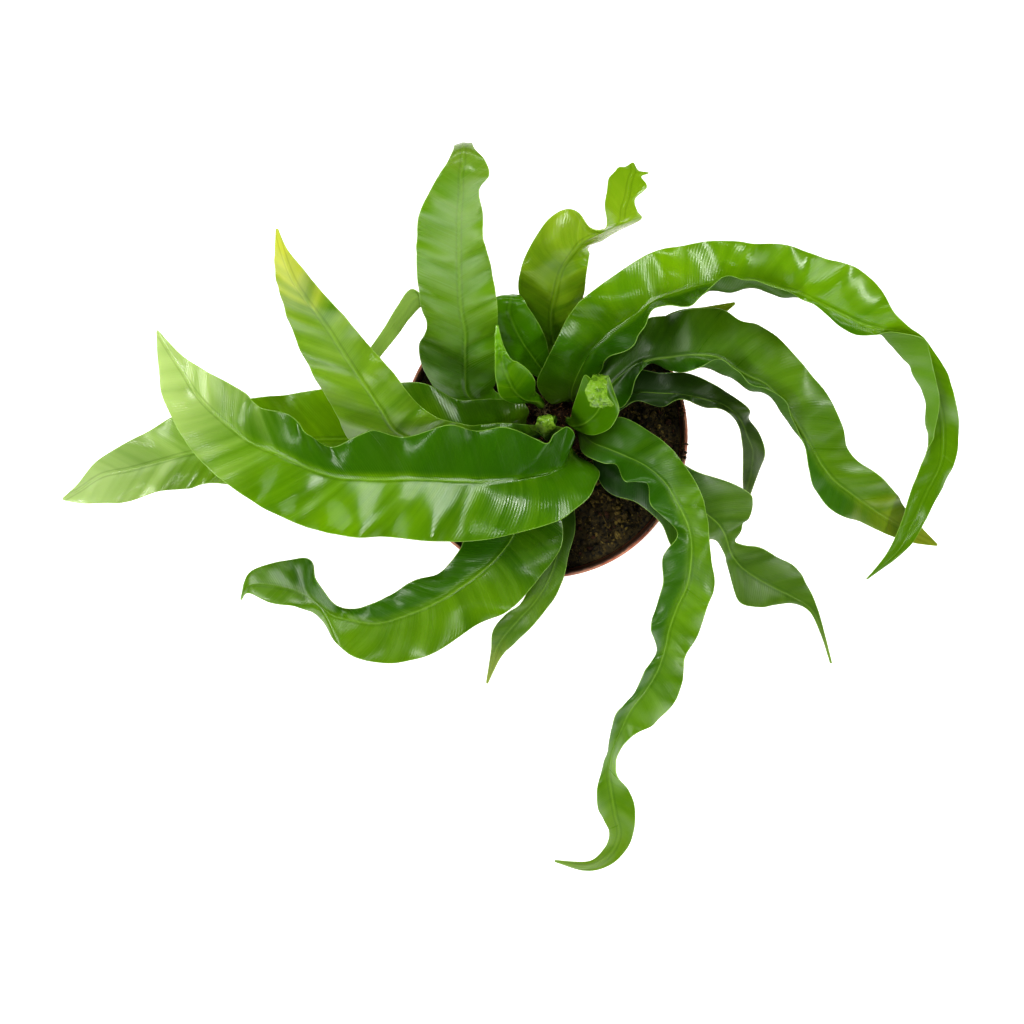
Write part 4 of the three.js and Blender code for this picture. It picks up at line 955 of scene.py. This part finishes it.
def makePot():
    foot, top, inner = pot["baseRadius"], pot["wallTopRadius"], pot["rimInnerRadius"]
    rim, height, bandFoot, wall = pot["rimRadius"], pot["height"], pot["bandFoot"], pot["wall"]
    floor, footStep, band = pot["floor"], pot["footStep"], top + pot["bandStep"]
    footEdge = foot - pot["footWidth"]
    innerFoot = outerRadiusAt(floor) - wall
    shoulder = outerRadiusAt(bandFoot) - wall

    def outside(height):
        return (outerRadiusAt(height), height)

    def inside(height):
        return (outerRadiusAt(height) - wall, height)

    profile = [(0, 0), (footEdge - 10, 0)]
    profile += [(foot - inward, footStep) for inward in pot["recess"]] + [(footEdge, 0)]
    profile += roundCorner((footEdge, 0), (foot, 0), (foot + 1, 8), 1.6)
    profile += [outside(z) for z in (12, 24, 36, 48, 60, 72, 84, 92)]
    profile += roundCorner(outside(90), (top, bandFoot), (top + 2, bandFoot + 0.6), 0.6, 3)
    profile += roundCorner((top, bandFoot), (band, bandFoot + 0.6), (band + 0.3, bandFoot + 6), 0.7, 3)
    profile += [(band + 0.2, bandFoot + 5), (rim - 1.0, height - 5.2)]
    profile += roundCorner((rim - 1, height - 5), (rim, height - 4), (rim, height - 3), 0.5, 3)
    profile += roundCorner((rim, height - 4), (rim, height), (inner, height), pot["lipRounding"], 6)
    profile += roundCorner((rim, height), (inner, height), (inner - 0.4, height - 6), 1.1, 5)
    profile += roundCorner((inner, height), (shoulder, bandFoot - 2), inside(80), 1.5, 3)
    profile += [inside(z) for z in (80, 60, 40, 20)]
    profile += roundCorner(inside(20), (innerFoot, floor), (20, floor), 2.5, 4)
    profile += [(0, floor)]
    vertices, faces = turned(profile, pot["sides"])
    faces = [face[::-1] for face in faces]
    piece = addObject("nurseryPot", np.array(vertices) * mm, faces, [potMaterial()])
    drills = []
    drainRing = pot["drainRing"] * mm
    for k in range(pot["drainHoles"]):
        angle = (k + 0.5) * 2 * math.pi / pot["drainHoles"]
        bpy.ops.mesh.primitive_cylinder_add(
            vertices=28, radius=pot["drainRadius"] * mm, depth=0.012,
            location=(drainRing * math.cos(angle), drainRing * math.sin(angle), 0.001))
        drills.append(bpy.context.object)
    for drill in drills:
        cut = piece.modifiers.new("drainHole", "BOOLEAN")
        cut.object = drill
        cut.solver = "EXACT"
    depsgraph = bpy.context.evaluated_depsgraph_get()
    mesh = bpy.data.meshes.new_from_object(piece.evaluated_get(depsgraph))
    piece.modifiers.clear()
    piece.data = mesh
    for drill in drills:
        bpy.data.objects.remove(drill)
    piece.data.shade_smooth()
    return piece


standIn(makePot(), "pot")
print("pot made")


# Potting mix: dark damp peat with brown crumbs, ochre fibres and bits of bark.
mix = {  # mm
    "top": 108.5, "lump": 1.1, "fineLump": 1.5, "grit": 0.45, "gap": 0.3, "flatEdge": 5,
    "rings": 90, "sides": 220,
    "crumbs": 3400, "crumbSize": (0.4, 1.9), "largeCrumb": 1.5, "crumbLump": 0.55,
    "fibres": 240, "fibreLength": (4, 13), "fibreRadius": (0.12, 0.3),
    "overRim": {  # spilt crumbs; angles in degrees
        "crumbs": 60, "crumbSize": (0.35, 1.0), "angles": ((-11, -3), (8, 14), (128, 152)),
        "radii": (67.5, 71.5),
    },
    "materials": {  # name: dark, light, least roughness
        "dampPeat": ("#0C0A05", "#4C401E", 0.65),
        "brownPeatCrumb": ("#2A2010", "#7E6C36", 0.75),
        "ochreFibre": ("#453A18", "#86743A", 0.8),
        "barkBit": ("#20120A", "#5A3A22", 0.7),
    },
}


def swell(x, y):
    # the lumps of the top, as sums of sines with finer noise on them
    low = math.sin(0.31 * x + 1.3) * math.cos(0.27 * y) + 0.6 * math.sin(0.53 * y + 0.19 * x)
    fine = noise.fractal(Vector((x * 0.16, y * 0.16, 2.0)), 0.75, 2.0, 5)
    grit = noise.noise(Vector((x * 1.1, y * 1.1, 7.0)))
    return mix["lump"] * low + mix["fineLump"] * fine + mix["grit"] * grit


def mixMaterial(name, dark, light, leastRoughness):
    # crumbly organic matter: dull, each crumb in its own brown
    material, tree = newMaterial(name)
    place = addNode(tree, "TexCoord").outputs["Object"]
    blotch = addNode(tree, "TexNoise", {}, {
        "Vector": place, "Scale": 120, "Detail": 8, "Roughness": 0.75}).outputs[0]
    own = addNode(tree, "TexVoronoi", {}, {
        "Vector": place, "Scale": 850, "Randomness": 1.0}).outputs["Color"]
    own = addNode(tree, "SeparateColor", {}, {0: own}).outputs[0]
    tone = addNode(tree, "Math", {"operation": "MULTIPLY_ADD"}, {0: own, 1: 0.6, 2: blotch}).outputs[0]
    colour = tint(tree, toLinear(dark), [(tone, 0.5, 1.05, 0, 1, light)], "LINEAR")
    grit = addNode(tree, "TexNoise", {}, {
        "Vector": place, "Scale": 1400, "Detail": 4, "Roughness": 0.7}).outputs[0]
    dull = addNode(tree, "MapRange", {}, {
        "Value": blotch, "From Min": 0.35, "From Max": 0.7,
        "To Min": leastRoughness, "To Max": 0.97}).outputs[0]
    bump = addNode(tree, "Bump", {}, {"Height": grit, "Strength": 1.0, "Distance": 0.001}).outputs[0]
    surface = addNode(tree, "BsdfPrincipled", {}, {
        "Base Color": colour, "Roughness": dull, "Normal": bump, "IOR": 1.4})
    addNode(tree, "OutputMaterial", {}, {"Surface": surface.outputs[0]})
    return material


def unitCrumb(level):
    ball = bmesh.new()
    bmesh.ops.create_icosphere(ball, subdivisions=level, radius=1)
    points = np.array([v.co for v in ball.verts])
    faces = np.array([[v.index for v in f.verts] for f in ball.faces])
    ball.free()
    return points, faces


def turnMatrix(dice):
    a, b, c = (dice.uniform(0, 2 * math.pi) for _ in range(3))
    return np.array(Euler((a, b, c)).to_matrix())


def addCrumbs(dice, count, sizes, placeOf, out, slots):
    small, large = unitCrumb(1), unitCrumb(2)
    for _ in range(count):
        size = sizes[0] + (sizes[1] - sizes[0]) * dice.random() ** 3
        points, faces = large if size > mix["largeCrumb"] else small
        offset = Vector((dice.random() * 90, dice.random() * 90, 0))
        lumps = np.array([1 + mix["crumbLump"] * noise.noise(Vector(p) * 1.6 + offset) for p in points])
        stretch = np.array([dice.uniform(0.6, 1.3), dice.uniform(0.6, 1.3), dice.uniform(0.5, 0.9)])
        shape = (points * lumps[:, None] * stretch * size) @ turnMatrix(dice).T
        out.append((shape + np.array(placeOf(dice, size)), faces, dice.choice(slots)))


def addFibre(dice, start, length, radius, out, slot):
    # a bent three-sided thread
    steps = 7
    heading = dice.uniform(0, 2 * math.pi)
    rise = dice.uniform(-0.05, 0.25)
    centre, points = Vector(start), []
    for i in range(steps + 1):
        thin = radius * (1 - 0.6 * i / steps)
        side = Vector((-math.sin(heading), math.cos(heading), 0))
        for k in range(3):
            angle = 2 * math.pi * k / 3
            up = Vector((0, 0, math.sin(angle) * thin))
            points.append(centre + side * math.cos(angle) * thin + up)
        heading += dice.uniform(-0.5, 0.5)
        rise += dice.uniform(-0.35, 0.25)
        centre = centre + Vector((math.cos(heading), math.sin(heading), rise)) * (length / steps)
    faces = [(i * 3 + k, i * 3 + (k + 1) % 3, i * 3 + 3 + (k + 1) % 3, i * 3 + 3 + k)
             for i in range(steps) for k in range(3)]
    out.append((np.array(points), faces, slot))


def joined(name, parts, materials):
    vertices, faces, slots = [], [], []
    for points, partFaces, slot in parts:
        base = len(vertices)
        vertices += [tuple(p * mm) for p in points]
        faces += [tuple(base + i for i in face) for face in partFaces]
        slots += [slot] * len(partFaces)
    return addObject(name, vertices, faces, materials, slots)


def domed(middle, lowerRings, topRadius, rings, sides, heightAt, peak):
    # a closed block in rings of places: a flat bottom, walls, and a lumpy top
    x0, y0 = middle
    circles = [(radius, height, 0) for radius, height in lowerRings]
    circles += [(topRadius * (1 - ring / rings), None, 0.5 * (ring % 2)) for ring in range(rings)]
    vertices = [(x0, y0, lowerRings[0][1])]
    for radius, height, turn in circles:
        for k in range(sides):
            angle = 2 * math.pi * (k + turn) / sides
            x, y = x0 + radius * math.cos(angle), y0 + radius * math.sin(angle)
            vertices.append((x, y, heightAt(x, y) if height is None else height))
    vertices.append((x0, y0, peak))
    faces = [(0, 1 + (k + 1) % sides, 1 + k) for k in range(sides)]
    last = 1 + (len(circles) - 1) * sides
    for a in range(1, last, sides):
        b = a + sides
        faces += [(a + k, a + (k + 1) % sides, b + (k + 1) % sides, b + k) for k in range(sides)]
    faces += [(last + k, last + (k + 1) % sides, last + sides) for k in range(sides)]
    return np.array(vertices), faces


def makeMix():
    dice = random.Random(5)
    wall, bandFoot = pot["wall"] + mix["gap"], pot["bandFoot"]
    innerFoot = outerRadiusAt(pot["floor"]) - wall
    shoulder = outerRadiusAt(bandFoot) - wall
    edgeRise = (mix["top"] - bandFoot + 2) / (pot["bandDepth"] + 1)
    topRadius = shoulder + (pot["rimInnerRadius"] - mix["gap"] - shoulder) * edgeRise
    bottom = pot["floor"] + mix["gap"]

    def topAt(x, y):
        share = min(1, (topRadius - math.hypot(x, y)) / mix["flatEdge"])
        return mix["top"] + swell(x, y) * share

    block = domed((0, 0), [(innerFoot, bottom), (shoulder, bandFoot - 2)], topRadius,
                  mix["rings"], mix["sides"], topAt, mix["top"])
    parts = [(*block, 0)]

    def onTop(dice, size):
        radius = (topRadius - 2.2 - size) * math.sqrt(dice.random())
        angle = dice.uniform(0, 2 * math.pi)
        x, y = radius * math.cos(angle), radius * math.sin(angle)
        return (x, y, mix["top"] + swell(x, y) + size * dice.uniform(-0.1, 0.45))

    addCrumbs(dice, mix["crumbs"], mix["crumbSize"], onTop, parts, (0, 0, 1, 1, 2, 2, 3))
    spilt = mix["overRim"]

    def onRim(dice, size):
        angle = math.radians(dice.uniform(*dice.choice(spilt["angles"])))
        radius = dice.uniform(*spilt["radii"])
        return (radius * math.cos(angle), radius * math.sin(angle), pot["height"] + size * 0.35)

    addCrumbs(dice, spilt["crumbs"], spilt["crumbSize"], onRim, parts, (0, 1, 3))
    for _ in range(mix["fibres"]):
        x, y, z = onTop(dice, 6)
        length, radius = dice.uniform(*mix["fibreLength"]), dice.uniform(*mix["fibreRadius"])
        slot = dice.choice((1, 2, 2, 3))
        addFibre(dice, (x, y, z + 0.6), length, radius, parts, slot)
    materials = [mixMaterial(name, *looks) for name, looks in mix["materials"].items()]
    return joined("pottingMix", parts, materials)


standIn(makeMix(), "soil")
print("potting mix made")


# Crown: the fibrous rootstock, thick with dark chaffy scales, with old brown stalk stubs.
crown = {  # mm
    "x": 8, "y": 8, "radius": 26, "foot": 97, "edgeTop": 110.5, "top": 115.5, "lump": 1.6,
    "sides": 120, "rings": 40,
    "scales": 1500, "scaleLength": (2.5, 6.5), "scaleWidth": (0.25, 0.55), "scaleCurl": (0.3, 1.2),
    "scaleFaces": [(0, 1, 2, 3), (3, 2, 4), (0, 3, 5), (1, 5, 2), (5, 3, 4), (2, 5, 4), (0, 5, 1)],
    "stubs": 34, "stubThickness": (1.0, 1.9), "stubHeight": (2.5, 5.0), "stubSides": 9,
    "hairs": 60, "hairLength": (4, 9), "hairRadius": (0.15, 0.3),
    "tuft": {"x": -1.5, "y": 12.5, "spread": 2.2, "hairs": 55, "hairLength": (2, 4.5)},
    "materials": {  # name: dark, light, least roughness
        "fibrousRootstock": ("#1A0F08", "#4A2F1A", 0.7),
        "darkChaffyScale": ("#24140A", "#5C3A1E", 0.5),
        "paleChaffyScale": ("#5A3E20", "#A07C48", 0.5),
        "oldStalkStub": ("#33260F", "#7A6A30", 0.5),
        "dryTuft": ("#6E5C38", "#B8A67A", 0.6),
    },
}


def crownHeight(x, y):
    away = math.hypot(x - crown["x"], y - crown["y"]) / crown["radius"]
    dome = crown["edgeTop"] + (crown["top"] - crown["edgeTop"]) * max(0, 1 - away ** 2.2)
    return dome + crown["lump"] * noise.fractal(Vector((x * 0.22, y * 0.22, 11)), 0.7, 2.0, 4)


def onCrown(radius, angle, lift=0):
    x, y = crown["x"] + radius * math.cos(angle), crown["y"] + radius * math.sin(angle)
    return Vector((x, y, crownHeight(x, y) + lift))


def chaffyScale(dice):
    # a thin pointed blade that stands up from the crown
    radius = (crown["radius"] - 1.5) * math.sqrt(dice.random())
    angle = dice.uniform(0, 2 * math.pi)
    base = onCrown(radius, angle, -0.6)
    leanX, leanY = math.cos(angle) * dice.uniform(-0.2, 0.8), math.sin(angle) * dice.uniform(-0.2, 0.8)
    lean = Vector((leanX, leanY, 1)).normalized()
    lean = (lean + Vector((dice.uniform(-0.5, 0.5), dice.uniform(-0.5, 0.5), 0))).normalized()
    side = lean.cross(Vector((math.cos(angle + 1), math.sin(angle + 1), 0.2))).normalized()
    length = dice.uniform(*crown["scaleLength"]) * (0.6 + 0.4 * radius / crown["radius"])
    width = dice.uniform(*crown["scaleWidth"])
    out = lean.cross(side).normalized() * dice.uniform(*crown["scaleCurl"])
    waist = base + lean * length * 0.45 + out * 0.3
    points = [base - side * width * 0.6, base + side * width * 0.6, waist + side * width,
              waist - side * width, base + lean * length + out, waist - lean.cross(side) * 0.15]
    return np.array(points), crown["scaleFaces"], dice.choice((1, 1, 2))


def stalkStub(dice):
    radius = crown["radius"] * dice.uniform(0.35, 0.95)
    angle = dice.uniform(0, 2 * math.pi)
    base = onCrown(radius, angle, -1.5)
    thick, tall = dice.uniform(*crown["stubThickness"]), dice.uniform(*crown["stubHeight"])
    lean = Vector((math.cos(angle) * 0.5, math.sin(angle) * 0.5, 1)).normalized()
    side = lean.orthogonal().normalized()
    other = lean.cross(side)
    sides, points = crown["stubSides"], []
    for share, wide in ((0, 1.1), (0.6, 1.0), (0.95, 0.85), (1.0, 0.55)):
        for k in range(sides):
            turn = 2 * math.pi * k / sides
            around = side * math.cos(turn) * 0.8 + other * math.sin(turn)
            points.append(base + lean * tall * share + around * thick * wide)
    points.append(base + lean * tall * 0.92)
    faces = [(a + k, a + (k + 1) % sides, a + sides + (k + 1) % sides, a + sides + k)
             for a in (0, sides, 2 * sides) for k in range(sides)]
    faces += [(3 * sides + k, 3 * sides + (k + 1) % sides, 4 * sides) for k in range(sides)]
    return np.array(points), faces, 3


def makeCrown():
    dice = random.Random(9)
    middle = (crown["x"], crown["y"])
    block = domed(middle, [(crown["radius"] - 0.5, crown["foot"])], crown["radius"] - 0.3,
                  crown["rings"], crown["sides"], crownHeight, crownHeight(*middle))
    parts = [(*block, 0)]
    parts += [chaffyScale(dice) for _ in range(crown["scales"])]
    parts += [stalkStub(dice) for _ in range(crown["stubs"])]
    for _ in range(crown["hairs"]):
        radius = crown["radius"] * math.sqrt(dice.random())
        start = onCrown(radius, dice.uniform(0, 2 * math.pi))
        length, radius = dice.uniform(*crown["hairLength"]), dice.uniform(*crown["hairRadius"])
        addFibre(dice, start, length, radius, parts, 2)
    # a small dry tuft where the old fronds came up
    tuft = crown["tuft"]
    for _ in range(tuft["hairs"]):
        x = tuft["x"] + dice.uniform(-tuft["spread"], tuft["spread"])
        y = tuft["y"] + dice.uniform(-tuft["spread"], tuft["spread"])
        start = (x, y, crownHeight(x, y) + dice.uniform(0.5, 2.5))
        length, radius = dice.uniform(*tuft["hairLength"]), dice.uniform(*crown["hairRadius"])
        addFibre(dice, start, length, radius, parts, 4)
    materials = [mixMaterial(name, *looks) for name, looks in crown["materials"].items()]
    return joined("rootstockCrown", parts, materials)


standIn(makeCrown(), "crown")
print("crown made")
